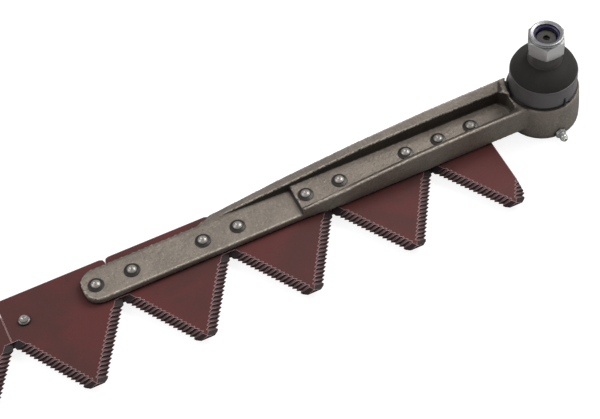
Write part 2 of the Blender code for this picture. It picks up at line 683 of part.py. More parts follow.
def make_knife_head(parts, cutters, steel):
    """One forging: the arm with the ball housing at its end."""
    head = make_arm(cutters)
    housing = turned("housing_outer", housing_profile(), cutters, ROUND_STEPS)
    space = HOUSING_RIM_RADIUS + BOOT_SPACE_GAP
    under_rim = HOUSING_HEIGHT - BOOT_SPACE_DEPTH
    combine(head, cylinder("boot_space", space, under_rim, TALL, cutters, ROUND_STEPS), "DIFFERENCE")
    combine(head, housing, "UNION")
    head = baked(head, cutters, weld=0.000001)
    combine(head, turned("ball_cavity", cavity_profile(), cutters, JOINT_STEPS), "DIFFERENCE")
    thread = NIPPLE_THREAD_RADIUS + SEAT
    depth = NIPPLE_THREAD_LENGTH + SEAT
    inner = HOUSING_WALL + RING_BITE
    way = [(0.0, depth), (thread, depth), (thread, -depth), (GREASE_WAY_RADIUS, -depth),
           (GREASE_WAY_RADIUS, -inner), (0.0, -inner)]
    grease = turned("nipple_hole", way, cutters, SMALL_STEPS)
    grease.matrix_world = nipple_frame()
    combine(head, grease, "DIFFERENCE")
    holes = [rivet_hole("head_hole", x, cutters) for x in rivet_places() if x > ARM_END]
    combine(head, join_meshes("head_holes", holes, cutters), "DIFFERENCE")
    head = baked(head, parts, steel, weld=0.000001)
    head.name = "knife_head"
    smooth(head, 30.0)


def arc(radius, centre_z, start, end, count):
    """Points of a circle in the RZ plane; the angles are measured up from level."""
    points = []
    for index in range(count + 1):
        angle = math.radians(start + (end - start) * index / count)
        points.append((radius * math.cos(angle), centre_z + radius * math.sin(angle)))
    return points


def angle_at(radius, height):
    """Angle up from level at which a ball of this radius reaches a height."""
    return math.degrees(math.asin(height / radius))


def make_ball_stud(parts, cutters, steel):
    """Ball with its neck, tapered shoulder and threaded end."""
    neck_angle = math.degrees(math.acos(STUD_NECK_RADIUS / BALL_RADIUS))
    neck_end = BALL_CENTRE_Z + BALL_RADIUS * math.sin(math.radians(neck_angle))
    profile = [(0.0, STUD_TOP_Z - CENTRE_HOLE_DEPTH), (CENTRE_HOLE_RADIUS, STUD_TOP_Z - CENTRE_HOLE_RADIUS),
               (CENTRE_HOLE_RADIUS, STUD_TOP_Z), (STUD_THREAD_RADIUS - STUD_CHAMFER, STUD_TOP_Z),
               (STUD_THREAD_RADIUS, STUD_TOP_Z - STUD_CHAMFER), (STUD_THREAD_RADIUS, STUD_TAPER_TOP_Z),
               (STUD_SHOULDER_RADIUS, STUD_SHOULDER_Z),
               (STUD_NECK_RADIUS, STUD_SHOULDER_Z - (STUD_SHOULDER_Z - neck_end) / 2)]
    profile += arc(BALL_RADIUS, BALL_CENTRE_Z, neck_angle, -90.0, BALL_STEPS)[:-1]
    profile.append((0.0, BALL_CENTRE_Z - BALL_RADIUS))
    turned("ball_stud", profile, parts, JOINT_STEPS, steel)


def make_seats(parts, resin):
    """Upper and lower bearing seats around the ball."""
    outer = HOUSING_BORE_RADIUS - SEAT
    top_angle = angle_at(SOCKET_RADIUS, UPPER_SEAT_TOP_Z - BALL_CENTRE_Z)
    low_angle = angle_at(SOCKET_RADIUS, SEAT_SPLIT)
    inner = arc(SOCKET_RADIUS, BALL_CENTRE_Z, low_angle, top_angle, SEAT_STEPS)
    upper = [(outer, UPPER_SEAT_TOP_Z), (outer, BALL_CENTRE_Z + SEAT_SPLIT)] + inner
    turned("upper_ball_seat", upper, parts, JOINT_STEPS, resin)
    mouth = -math.degrees(math.acos(LOWER_SEAT_MOUTH / SOCKET_RADIUS))
    inner = arc(SOCKET_RADIUS, BALL_CENTRE_Z, mouth, -low_angle, SEAT_STEPS)
    lower = [(outer, BALL_CENTRE_Z - SEAT_SPLIT), (outer, LOWER_SEAT_Z), (LOWER_SEAT_MOUTH, LOWER_SEAT_Z)]
    lower += inner
    turned("lower_ball_seat", lower, parts, JOINT_STEPS, resin)


def make_closure(parts, cutters, steel):
    """Disc spring, closing cap and the ring that holds them in from below."""
    rise = SPRING_HEIGHT - SPRING_THICKNESS
    spring = [(SPRING_OUTER_RADIUS, SPRING_BOTTOM_Z + SPRING_THICKNESS),
              (SPRING_OUTER_RADIUS, SPRING_BOTTOM_Z), (SPRING_INNER_RADIUS, SPRING_BOTTOM_Z + rise),
              (SPRING_INNER_RADIUS, SPRING_BOTTOM_Z + SPRING_HEIGHT)]
    turned("preload_spring", spring, parts, JOINT_STEPS, steel)
    flange = HOUSING_BORE_RADIUS - SEAT
    cap = [(0.0, CAP_TOP_Z), (flange, CAP_TOP_Z), (flange, CAP_BOSS_DEPTH), (CAP_BOSS_RADIUS, CAP_BOSS_DEPTH),
           (CAP_BOSS_RADIUS, 0.0), (0.0, 0.0)]
    turned("closing_cap", cap, parts, JOINT_STEPS, steel)
    outline = [(RING_OUTER_RADIUS, RING_TOP_Z), (RING_OUTER_RADIUS, RING_BOTTOM_Z),
               (RING_INNER_RADIUS, RING_BOTTOM_Z), (RING_INNER_RADIUS, RING_TOP_Z)]
    ring = turned("retaining_ring", outline, parts, JOINT_STEPS, steel)
    reach = RING_OUTER_RADIUS + RING_THICKNESS
    half = reach * math.tan(math.radians(RING_GAP_ANGLE / 2))
    gap = slab("ring_gap", [(0.0, 0.0), (reach, -half), (reach, half)], -reach, reach, cutters)
    combine(ring, gap, "DIFFERENCE")


def boot_dome(neck, skirt, top, bottom):
    """Curve of the boot's dome, from the neck out and down to the skirt."""
    points = []
    for step in range(1, BOOT_DOME_STEPS + 1):
        turn = math.pi / 2 * step / BOOT_DOME_STEPS
        fall = 1.0 - max(math.cos(turn), 0.0) ** BOOT_DOME_CURVE
        points.append((neck + (skirt - neck) * math.sin(turn), top + (bottom - top) * fall))
    return points


def boot_outside():
    """Outer side of the boot, from the top of its neck down to the wire's groove and its foot."""
    points = [(BOOT_NECK_RADIUS, BOOT_NECK_TOP_Z), (BOOT_NECK_RADIUS, BOOT_NECK_Z)]
    points += boot_dome(BOOT_NECK_RADIUS, BOOT_RADIUS, BOOT_NECK_Z, BOOT_BAND_TOP_Z)
    groove = BASE_RING_WIRE + SEAT
    inset = BOOT_RADIUS - BASE_RING_WIRE
    points += [(BOOT_RADIUS, BOOT_GROOVE_Z + groove), (inset, BOOT_GROOVE_Z + groove),
               (inset, BOOT_GROOVE_Z - groove), (BOOT_RADIUS, BOOT_GROOVE_Z - groove),
               (BOOT_RADIUS, BOOT_BOTTOM_Z)]
    return points


def boot_inside():
    """Inner side of the boot, from its bottom up, with the neck ring's groove."""
    ring = BOOT_BORE_RADIUS + NECK_RING_WALL + SEAT
    low = NECK_RING_Z - SEAT
    high = NECK_RING_TOP_Z + SEAT
    under_neck = BOOT_NECK_Z - BOOT_WALL
    skirt = BOOT_RADIUS - BOOT_WALL
    dome = boot_dome(BOOT_BORE_RADIUS, skirt, under_neck, BOOT_BAND_TOP_Z)
    points = [(skirt, BOOT_BOTTOM_Z)] + dome[::-1] + [(BOOT_BORE_RADIUS, under_neck)]
    return points + [(BOOT_BORE_RADIUS, low), (ring, low), (ring, high), (BOOT_BORE_RADIUS, high),
                     (BOOT_BORE_RADIUS, BOOT_NECK_TOP_Z)]


def make_boot(parts, cutters, rubber, steel, black):
    """Dust boot, the wire ring round its skirt and the ring in its neck."""
    turned("dust_boot", boot_outside() + boot_inside(), parts, BOOT_STEPS, rubber)
    wide = BOOT_BORE_RADIUS + NECK_RING_WALL
    ring = [(wide, NECK_RING_TOP_Z), (wide, NECK_RING_Z), (BOOT_BORE_RADIUS, NECK_RING_Z),
            (BOOT_BORE_RADIUS, NECK_RING_TOP_Z)]
    turned("boot_neck_ring", ring, parts, JOINT_STEPS, steel)
    radius = BOOT_RADIUS + SEAT
    curve = bpy.data.curves.new("boot_base_ring", "CURVE")
    curve.dimensions = "3D"
    curve.bevel_depth = BASE_RING_WIRE
    curve.bevel_resolution = 0
    curve.use_fill_caps = True
    spline = curve.splines.new("POLY")
    spline.points.add(WIRE_STEPS - 1)
    for index, point in enumerate(spline.points):
        open_turn = 360.0 - BASE_RING_GAP_ANGLE
        angle = BASE_RING_GAP_AT + BASE_RING_GAP_ANGLE / 2 + open_turn * index / (WIRE_STEPS - 1)
        turn = math.radians(angle)
        point.co = (radius * math.cos(turn), radius * math.sin(turn), BOOT_GROOVE_Z, 1.0)
    wire = bpy.data.objects.new("boot_base_ring", curve)
    cutters.objects.link(wire)
    baked(wire, parts, black, weld=0.00001).name = "boot_base_ring"


def make_nut(parts, cutters, zinc, nylon):
    """Lock nut: chamfered hexagon, round collar and the nylon ring inside it."""
    corner = NUT_ACROSS_FLATS / math.sqrt(3.0)
    chamfer = corner - NUT_ACROSS_FLATS / 2 + RUNNING
    drop = chamfer * math.tan(math.radians(30.0))
    hexagon = [(0.0, NUT_TOP_Z), (NUT_COLLAR_RADIUS, NUT_TOP_Z), (NUT_COLLAR_RADIUS, NUT_HEX_TOP_Z),
               (corner, NUT_HEX_TOP_Z - drop), (corner, NUT_BOTTOM_Z + drop),
               (corner - chamfer, NUT_BOTTOM_Z), (0.0, NUT_BOTTOM_Z)]
    nut = turned("lock_nut", hexagon, parts, NUT_STEPS, zinc)
    flats = prism("nut_hexagon", corner, 0.0, TALL, cutters)
    flats.rotation_euler.z = math.radians(NUT_TURN_ANGLE)
    combine(nut, flats, "INTERSECT")
    bore = STUD_THREAD_RADIUS + SEAT
    recess = INSERT_OUTER_RADIUS + SEAT
    recess_low = INSERT_BOTTOM_Z - SEAT
    hollow = [(0.0, TALL), (recess, TALL), (recess, recess_low), (bore, recess_low),
              (bore, NUT_BOTTOM_Z - SEAT), (0.0, NUT_BOTTOM_Z - SEAT)]
    combine(nut, turned("nut_hollow", hollow, cutters, JOINT_STEPS), "DIFFERENCE")
    ring = [(INSERT_OUTER_RADIUS, INSERT_TOP_Z), (INSERT_OUTER_RADIUS, INSERT_BOTTOM_Z),
            (INSERT_INNER_RADIUS, INSERT_BOTTOM_Z), (INSERT_INNER_RADIUS, INSERT_TOP_Z)]
    turned("nut_insert", ring, parts, JOINT_STEPS, nylon)


def make_nipple(parts, cutters, zinc):
    """Grease nipple with its check ball and spring."""
    neck_z = NIPPLE_HEX_LENGTH
    head_z = (NIPPLE_HEX_LENGTH + NIPPLE_LENGTH) / 2
    bevel = NIPPLE_HEAD_STEP
    corner = NIPPLE_HEX_ACROSS / math.sqrt(3.0)
    outer = [(0.0, NIPPLE_LENGTH), (NIPPLE_NECK_RADIUS, NIPPLE_LENGTH),
             (NIPPLE_HEAD_RADIUS, NIPPLE_LENGTH - bevel), (NIPPLE_HEAD_RADIUS, head_z + bevel),
             (NIPPLE_NECK_RADIUS, head_z), (NIPPLE_NECK_RADIUS, neck_z), (0.0, neck_z)]
    nipple = turned("grease_nipple", outer, parts, SMALL_STEPS, zinc)
    nipple.matrix_world = nipple_frame()
    hexagon = prism("nipple_hexagon", corner, 0.0, neck_z + SEAT, cutters)
    hexagon.matrix_world = nipple_frame()
    thread = cylinder("nipple_thread", NIPPLE_THREAD_RADIUS, -NIPPLE_THREAD_LENGTH, SEAT, cutters,
                      SMALL_STEPS)
    thread.matrix_world = nipple_frame()
    combine(nipple, hexagon, "UNION")
    combine(nipple, thread, "UNION")
    floor = -NIPPLE_THREAD_LENGTH / 2
    lip = NIPPLE_LENGTH - NIPPLE_LIP
    bore = [(0.0, TALL), (NIPPLE_MOUTH_RADIUS, TALL), (NIPPLE_MOUTH_RADIUS, lip), (NIPPLE_BORE_RADIUS, lip),
            (NIPPLE_BORE_RADIUS, floor), (GREASE_WAY_RADIUS, floor), (GREASE_WAY_RADIUS, -TALL), (0.0, -TALL)]
    channel = turned("nipple_channel", bore, cutters, SMALL_STEPS)
    channel.matrix_world = nipple_frame()
    combine(nipple, channel, "DIFFERENCE")
    ball_at = lip - SEAT - NIPPLE_BALL_RADIUS
    ball = turned("nipple_ball", [(0.0, ball_at + NIPPLE_BALL_RADIUS)]
                  + arc(NIPPLE_BALL_RADIUS, ball_at, BALL_CAP_ANGLE, -BALL_CAP_ANGLE, SEAT_STEPS)
                  + [(0.0, ball_at - NIPPLE_BALL_RADIUS)], parts, SMALL_STEPS, zinc)
    ball.matrix_world = nipple_frame()
    make_nipple_spring(floor + SEAT, ball_at - NIPPLE_BALL_RADIUS - SEAT, parts, cutters, zinc)


def make_nipple_spring(low, high, parts, cutters, steel):
    """Small coil spring that holds the check ball shut."""
    wire = NIPPLE_SPRING_WIRE
    radius = NIPPLE_BORE_RADIUS - SEAT - wire
    points = NIPPLE_SPRING_TURNS * NIPPLE_SPRING_POINTS + 1
    curve = bpy.data.curves.new("nipple_spring", "CURVE")
    curve.dimensions = "3D"
    curve.bevel_depth = wire
    curve.bevel_resolution = 0
    curve.use_fill_caps = True
    spline = curve.splines.new("POLY")
    spline.points.add(points - 1)
    for index, point in enumerate(spline.points):
        share = index / (points - 1)
        turn = share * NIPPLE_SPRING_TURNS * 2 * math.pi
        height = low + wire + (high - low - 2 * wire) * share
        point.co = (radius * math.cos(turn), radius * math.sin(turn), height, 1.0)
    obj = bpy.data.objects.new("nipple_spring", curve)
    cutters.objects.link(obj)
    obj.matrix_world = nipple_frame()
    baked(obj, parts, steel, weld=0.00001).name = "nipple_spring"


def build():
    """Build every piece of the knife."""
    clear_scene()
    parts = new_collection("sickle_mower_knife")
    cutters = new_collection("cutters")
    blade = new_material("varnished_section", (0.085, 0.024, 0.024), 0.35, 0.2)
    bar = new_material("rolled_bar", (0.12, 0.11, 0.10), 0.55, 0.8)
    forging = new_material("forged_steel", (0.21, 0.18, 0.15), 0.5, 0.7)
    bright = new_material("bright_steel", (0.55, 0.53, 0.50), 0.3, 0.9)
    zinc = new_material("zinc_plated", (0.62, 0.64, 0.66), 0.25, 1.0)
    nylon = new_material("violet_nylon", (0.06, 0.05, 0.20), 0.4, 0.0)
    resin = new_material("seat_resin", (0.60, 0.58, 0.50), 0.4, 0.0)
    rubber = new_material("boot_rubber", (0.025, 0.023, 0.023), 0.55, 0.0)
    black = new_material("blackened_wire", (0.012, 0.012, 0.012), 0.45, 0.4)
    make_sections(parts, cutters, blade)
    make_knife_back(parts, cutters, bar)
    make_rivets(parts, cutters, bright)
    make_knife_head(parts, cutters, forging)
    make_ball_stud(parts, cutters, bright)
    make_seats(parts, resin)
    make_closure(parts, cutters, bright)
    make_boot(parts, cutters, rubber, bright, black)
    make_nut(parts, cutters, zinc, nylon)
    make_nipple(parts, cutters, zinc)


build()
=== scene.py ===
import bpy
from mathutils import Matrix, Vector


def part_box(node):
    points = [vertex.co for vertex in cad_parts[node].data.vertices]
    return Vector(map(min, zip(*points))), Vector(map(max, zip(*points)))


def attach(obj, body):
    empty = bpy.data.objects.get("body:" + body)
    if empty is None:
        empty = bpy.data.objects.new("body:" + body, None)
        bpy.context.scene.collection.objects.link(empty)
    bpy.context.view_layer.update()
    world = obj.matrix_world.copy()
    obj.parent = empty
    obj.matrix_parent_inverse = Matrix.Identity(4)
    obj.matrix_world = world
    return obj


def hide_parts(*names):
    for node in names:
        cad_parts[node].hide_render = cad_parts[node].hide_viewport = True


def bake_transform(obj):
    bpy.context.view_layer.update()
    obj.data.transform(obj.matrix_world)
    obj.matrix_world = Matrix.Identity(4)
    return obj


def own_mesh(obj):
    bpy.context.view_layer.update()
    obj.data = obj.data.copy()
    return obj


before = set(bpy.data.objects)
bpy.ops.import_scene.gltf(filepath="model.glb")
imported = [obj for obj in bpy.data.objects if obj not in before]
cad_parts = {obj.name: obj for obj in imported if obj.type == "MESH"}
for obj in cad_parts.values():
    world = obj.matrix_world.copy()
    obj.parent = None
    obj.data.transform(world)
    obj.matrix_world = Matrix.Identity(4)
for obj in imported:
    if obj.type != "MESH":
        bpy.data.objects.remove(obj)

"""Looks of the knife of a sickle bar mower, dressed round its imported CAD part.

The knife lies along X, its teeth point to -Y and its flat back rests on Z 0. The ball of the
knife head is above the origin. All sizes are in metres, in the frame of the CAD part.
"""

import logging
import math
from collections.abc import Callable
from dataclasses import dataclass
from enum import Enum

import bpy
from mathutils import Matrix, Vector

logging.basicConfig(level=logging.INFO, format="%(message)s")
log = logging.getLogger("knife")

Colour = tuple[float, float, float]
Points = tuple[tuple[float, float], ...]
Profile = list[tuple[float, float]]
Socket = bpy.types.NodeSocket
Value = float | bpy.types.NodeSocket
Outputs = bpy.types.bpy_prop_collection
# Mesh attribute that marks the ring of painted shade round the rivet heads.
RING_SHADE = "ring_shade"
WELD = 0.000001
SEAM_WELD = 0.000002
FAR = 0.2


class Body(Enum):
    """Bodies of the CAD part that pieces ride on."""

    KNIFE = "knife"
    BOOT = "boot"
    BOOT_NECK = "boot_neck"
    STUD = "stud"


def rgba(colour: Colour, share: float = 1.0) -> tuple[float, float, float, float]:
    """A colour with full opacity, darkened to a share of itself."""
    return (*(share * part for part in colour), 1.0)


def offset(points: Points, radius: float, height: float) -> Profile:
    """Points of a half section that are given from a radius and a height."""
    return [(radius + out, height + up) for out, up in points]


def arc(middle: float, wide: float, high: float, turns: tuple[float, ...]) -> Profile:
    """Points of a rounded half section.

    Args:
        middle: height of the curve's centre, which is on the axis.
        wide: half the curve's width.
        high: half its height.
        turns: angles of the points above the horizontal, in degrees.

    Returns:
        The (radius, height) points.
    """
    angles = [math.radians(turn) for turn in turns]
    return [(wide * math.cos(angle), middle + high * math.sin(angle)) for angle in angles]


# ---------------------------------------------------------------- shader groups


class Graph:
    """Thin helper that adds and joins nodes in one node tree."""

    def __init__(self, tree: bpy.types.NodeTree) -> None:
        """Take the tree that the nodes go into."""
        self.tree = tree

    def node(self, kind: str, values: dict | None = None, **settings) -> bpy.types.Node:
        """Add a node.

        Args:
            kind: Blender's name of the node type.
            values: socket name or number to a value or to another node's output.
            settings: properties of the node itself.

        Returns:
            The new node.
        """
        made = self.tree.nodes.new(kind)
        for name, value in settings.items():
            setattr(made, name, value)
        for socket, value in (values or {}).items():
            if isinstance(value, bpy.types.NodeSocket):
                self.tree.links.new(value, made.inputs[socket])
            else:
                made.inputs[socket].default_value = value
        return made

    def group(self, tree: bpy.types.NodeTree, **values: float) -> Outputs:
        """Outputs of a node group that is given its own values."""
        return self.node("ShaderNodeGroup", values, node_tree=tree).outputs

    def math(self, operation: str, *values: Value) -> Socket:
        """Output of a math node; the values are numbers or sockets."""
        return self.node("ShaderNodeMath", dict(enumerate(values)), operation=operation).outputs[0]

    def times(self, first: Value, second: Value) -> Socket:
        """Product of two values."""
        return self.math("MULTIPLY", first, second)

    def rest(self, value: Value) -> Socket:
        """What a value leaves of 1."""
        return self.math("SUBTRACT", 1.0, value)

    def fade(self, value: Value, low: Value, high: Value) -> Socket:
        """Smooth step of a value from 0 at low to 1 at high."""
        return self.node("ShaderNodeMapRange", {"Value": value, "From Min": low, "From Max": high},
                         interpolation_type="SMOOTHSTEP").outputs[0]

    def mix(self, factor: Value, first: Socket | tuple, second: Socket | tuple) -> Socket:
        """Colour between two colours."""
        return self.node("ShaderNodeMix", {0: factor, 6: first, 7: second}, data_type="RGBA").outputs[2]

    def cover(self, colour: Socket, mask: Value, share: Value, over: tuple) -> Socket:
        """A colour covered by another one, as far as a mask and a share say."""
        return self.mix(self.times(mask, share), colour, over)

    def source(self, name: str) -> Socket:
        """The place on the piece, under the name Object, or its Normal."""
        return self.node("ShaderNodeTexCoord").outputs[name]

    def axes(self, name: str) -> Outputs:
        """X, Y and Z of the place on the piece, under the name Object, or of its Normal."""
        return self.node("ShaderNodeSeparateXYZ", {0: self.source(name)}).outputs

    def noise(self, place: Socket, scale: Value, detail: float, **values: float) -> Socket:
        """Value of a noise at a place."""
        sockets = {"Vector": place, "Scale": scale, "Detail": detail, **values}
        return self.node("ShaderNodeTexNoise", sockets).outputs[0]

    def shelter(self, reach: Value, samples: int) -> Socket:
        """How open a place is to its surroundings, within a reach."""
        return self.node("ShaderNodeAmbientOcclusion", {"Distance": reach}, samples=samples).outputs["AO"]


class Effects:
    """Shader node groups shared by the finishes, each built once."""

    def __init__(self) -> None:
        """Build the groups."""
        self.grain = self._group("Grain", self._grain, {"Scale": 900.0}, ("Pits", "Specks", "Height"))
        self.patches = self._group("Patches", self._patches, {"Scale": 30.0}, ("Mask", "Streaks"))
        self.edges = self._group("Edge wear and highlight", self._edges, {"Radius": 0.0012, "Start": 0.8}, ("Mask",))
        self.raised = self._group("Raised places", self._raised, {"Start": 0.508}, ("Mask", "Hollow"))
        self.corners = self._group("Dark corners", self._corners, {"Reach": 0.004}, ("Mask",))

    @staticmethod
    def _group(name: str, fill: Callable[[Graph, Outputs], dict[str, Socket]], inputs: dict[str, float],
               outputs: tuple[str, ...]) -> bpy.types.NodeTree:
        """Build a node group with float inputs and float outputs.

        Args:
            name: name of the group.
            fill: adds the group's nodes and gives the socket of each output.
            inputs: names of its inputs, with the values they start with.
            outputs: names of its outputs.

        Returns:
            The group's node tree.
        """
        tree = bpy.data.node_groups.new(name, "ShaderNodeTree")
        for socket, value in inputs.items():
            made = tree.interface.new_socket(socket, in_out="INPUT", socket_type="NodeSocketFloat")
            made.default_value = value
        for socket in outputs:
            tree.interface.new_socket(socket, in_out="OUTPUT", socket_type="NodeSocketFloat")
        graph = Graph(tree)
        start = graph.node("NodeGroupInput")
        graph.node("NodeGroupOutput", fill(graph, start.outputs))
        return tree

    @staticmethod
    def _grain(graph: Graph, given: Outputs) -> dict[str, Socket]:
        """Fine rough grain of forged, rolled or moulded surfaces.

        Args:
            graph: takes the group's nodes.
            given: the group's inputs.

        Returns:
            Masks of pits and specks, and the height of the grain.
        """
        place = graph.source("Object")
        fine = graph.noise(place, given["Scale"], 6.0, Roughness=0.7)
        coarse = graph.noise(place, graph.times(given["Scale"], 0.3), 3.0)
        return {"Pits": graph.fade(fine, 0.53, 0.70), "Height": graph.math("ADD", fine, coarse),
                "Specks": graph.fade(graph.rest(fine), 0.56, 0.68)}

    @staticmethod
    def _patches(graph: Graph, given: Outputs) -> dict[str, Socket]:
        """Soft large patches, and fine streaks along the knife.

        Args:
            graph: takes the group's nodes.
            given: the group's inputs.

        Returns:
            Masks of the patches and of the streaks.
        """
        place = graph.source("Object")
        soft = graph.noise(place, given["Scale"], 5.0, Roughness=0.55, Distortion=0.6)
        long = graph.node("ShaderNodeMapping", {"Vector": place, "Scale": (0.06, 1.0, 1.0)}).outputs[0]
        streak = graph.noise(long, graph.times(given["Scale"], 14.0), 4.0)
        return {"Mask": graph.fade(soft, 0.38, 0.66), "Streaks": graph.fade(streak, 0.45, 0.75)}

    @staticmethod
    def _edges(graph: Graph, given: Outputs) -> dict[str, Socket]:
        """Edges that stick out, painted bright: partly wear, partly painted highlight.

        Args:
            graph: takes the group's nodes.
            given: the group's inputs.

        Returns:
            Mask of the edges.
        """
        round_normal = graph.node("ShaderNodeBevel", {"Radius": given["Radius"]}, samples=6)
        flat = graph.node("ShaderNodeNewGeometry").outputs["Normal"]
        same = graph.node("ShaderNodeVectorMath", {0: round_normal.outputs[0], 1: flat},
                          operation="DOT_PRODUCT")
        turn = graph.rest(graph.fade(same.outputs["Value"], given["Start"], 0.997))
        return {"Mask": graph.times(turn, graph.fade(graph.shelter(given["Radius"], 4), 0.55, 0.95))}

    @staticmethod
    def _raised(graph: Graph, given: Outputs) -> dict[str, Socket]:
        """Where a finely meshed piece stands out, for painted highlight with uneven wear, and where it has
        creases, for painted shade.

        Args:
            graph: takes the group's nodes.
            given: the group's inputs.

        Returns:
            Masks of the raised places and of the creases.
        """
        out = graph.node("ShaderNodeNewGeometry").outputs["Pointiness"]
        uneven = graph.fade(graph.noise(graph.source("Object"), 620.0, 6.0, Roughness=0.65), 0.34, 0.66)
        raised = graph.fade(out, given["Start"], graph.math("ADD", given["Start"], 0.025))
        return {"Mask": graph.times(raised, uneven), "Hollow": graph.rest(graph.fade(out, 0.452, 0.480))}

    @staticmethod
    def _corners(graph: Graph, given: Outputs) -> dict[str, Socket]:
        """Corners and undersides, darkened with painted shade and soiling.

        Args:
            graph: takes the group's nodes.
            given: the group's inputs.

        Returns:
            Mask of the corners.
        """
        near = graph.shelter(given["Reach"], 6)
        wide = graph.shelter(graph.times(given["Reach"], 4.0), 6)
        steep = graph.rest(graph.fade(graph.math("ABSOLUTE", graph.axes("Normal")["Z"]), 0.2, 0.75))
        close = graph.rest(graph.fade(near, 0.25, 0.95))
        deep = graph.rest(graph.fade(wide, 0.30, 0.80))
        return {"Mask": graph.math("MAXIMUM", close, graph.times(deep, steep))}


EFFECTS = Effects()


# ---------------------------------------------------------------- finishes


@dataclass(frozen=True)
class Finish:
    """A procedural finish: patches and grain, edges painted bright (wear and highlight), corners painted
    dark (shade and soiling).
    """

    name: str
    slot: str
    colour: Colour
    patch: Colour
    edge: Colour
    metallic: float = 0.0
    roughness: float = 0.5
    rough_change: float = 0.1
    grain_scale: float = 900.0
    grain_tint: float = 0.3
    specks: float = 0.0
    specular: float = 0.5
    bump: float = 0.05
    bump_height: float = 0.001
    patch_scale: float = 30.0
    streaks: float = 0.0
    edge_share: float = 0.5
    edge_radius: float = 0.0012
    edge_start: float = 0.8
    raised_share: float = 0.0
    corner_share: float = 0.6
    corner_reach: float = 0.004
    outline_share: float = 0.0
    pit_shade: float = 0.45
    corner_shade: float = 0.12
    outline_shade: float = 0.10

    def material(self) -> bpy.types.Material:
        """The finish as a material, made the first time it is asked for.

        Returns:
            The material.
        """
        made = bpy.data.materials.get(self.name)
        if made:
            return made
        made = bpy.data.materials.new(self.name)
        made.use_nodes = True
        graph = Graph(made.node_tree)
        shader = made.node_tree.nodes["Principled BSDF"].inputs
        shader["Metallic"].default_value = self.metallic
        shader["Specular IOR Level"].default_value = self.specular
        grain = graph.group(EFFECTS.grain, Scale=self.grain_scale)
        rough = graph.math("ADD", self.roughness - self.rough_change / 2,
                           graph.times(grain["Pits"], self.rough_change))
        bump = graph.node("ShaderNodeBump", {"Height": grain["Height"], "Strength": self.bump,
                                             "Distance": self.bump_height})
        for socket, value in (("Base Color", self.tint(graph, grain)), ("Roughness", rough),
                              ("Normal", bump.outputs[0])):
            graph.tree.links.new(value, shader[socket])
        return made

    def tint(self, graph: Graph, grain: Outputs) -> Socket:
        """Colour of the surface, with painted highlight and painted shade in it.

        Args:
            graph: takes the material's nodes.
            grain: outputs of the material's grain.

        Returns:
            The colour.
        """
        patches = graph.group(EFFECTS.patches, Scale=self.patch_scale)
        colour = graph.mix(patches["Mask"], rgba(self.colour), rgba(self.patch))
        colour = graph.cover(colour, grain["Pits"], self.grain_tint, rgba(self.colour, self.pit_shade))
        # The dark colour is for painted shade and soiling in creases and corners.
        edge, shade_and_dirt = rgba(self.edge), rgba(self.colour, self.corner_shade)
        if self.specks:
            colour = graph.cover(colour, grain["Specks"], self.specks, edge)
        colour = self.ground(graph, colour)
        if self.streaks:
            colour = graph.cover(colour, patches["Streaks"], self.streaks, edge)
        # Sharp edges painted bright: partly wear, partly painted highlight.
        if self.edge_share:
            edges = graph.group(EFFECTS.edges, Radius=self.edge_radius, Start=self.edge_start)
            colour = graph.cover(colour, edges["Mask"], self.edge_wear_and_highlight(graph), edge)
        # Raised places get painted highlight with wear, and creases get painted shade.
        if self.raised_share:
            raised = graph.group(EFFECTS.raised)
            colour = graph.cover(colour, raised["Mask"], self.raised_wear_and_highlight(graph), edge)
            colour = graph.cover(colour, raised["Hollow"], self.corner_share, shade_and_dirt)
        # Corners and undersides darkened with painted shade and soiling.
        if self.corner_share:
            corners = graph.group(EFFECTS.corners, Reach=self.corner_reach)
            colour = graph.cover(colour, corners["Mask"], self.corner_share, shade_and_dirt)
        # Painted shade towards the outline, where the surface turns away from the view.
        if self.outline_share:
            facing = graph.node("ShaderNodeLayerWeight", {"Blend": 0.5}).outputs["Facing"]
            colour = graph.cover(colour, graph.fade(facing, 0.55, 0.95), self.outline_share,
                                 rgba(self.colour, self.outline_shade))
        return colour

    def edge_wear_and_highlight(self, graph: Graph) -> Value:
        """How strongly sharp edges are painted bright, with wear and painted highlight."""
        return self.edge_share

    def raised_wear_and_highlight(self, graph: Graph) -> Value:
        """How strongly raised places are painted bright, with wear and painted highlight."""
        return self.raised_share

    def ground(self, graph: Graph, colour: Socket) -> Socket:
        """Colour where the surface was ground; most finishes have no such places."""
        return colour


@dataclass(frozen=True)
class LeaningFinish(Finish):
    """Finish with another colour where the surface leans: painted shade on ground bevels, a painted lighter
    tone on steep sides.
    """

    lean: Colour = (0.02, 0.008, 0.009)
    lean_share: float = 0.8
    lean_from: float = 0.93
    level_from: float = 0.995

    def ground(self, graph: Graph, colour: Socket) -> Socket:
        """Colour of the finish, mixed where it leans away from level to its other colour, which paints the
        slope darker on bevels and lighter on steep flats.

        Args:
            graph: takes the material's nodes.
            colour: colour of the finish so far.

        Returns:
            The colour.
        """
        # Painted light by slope: faces that lean take the other colour.
        up = graph.math("ABSOLUTE", graph.axes("Normal")["Z"])
        lean = graph.rest(graph.fade(up, self.lean_from, self.level_from))
        return graph.cover(colour, lean, self.lean_share, rgba(self.lean))


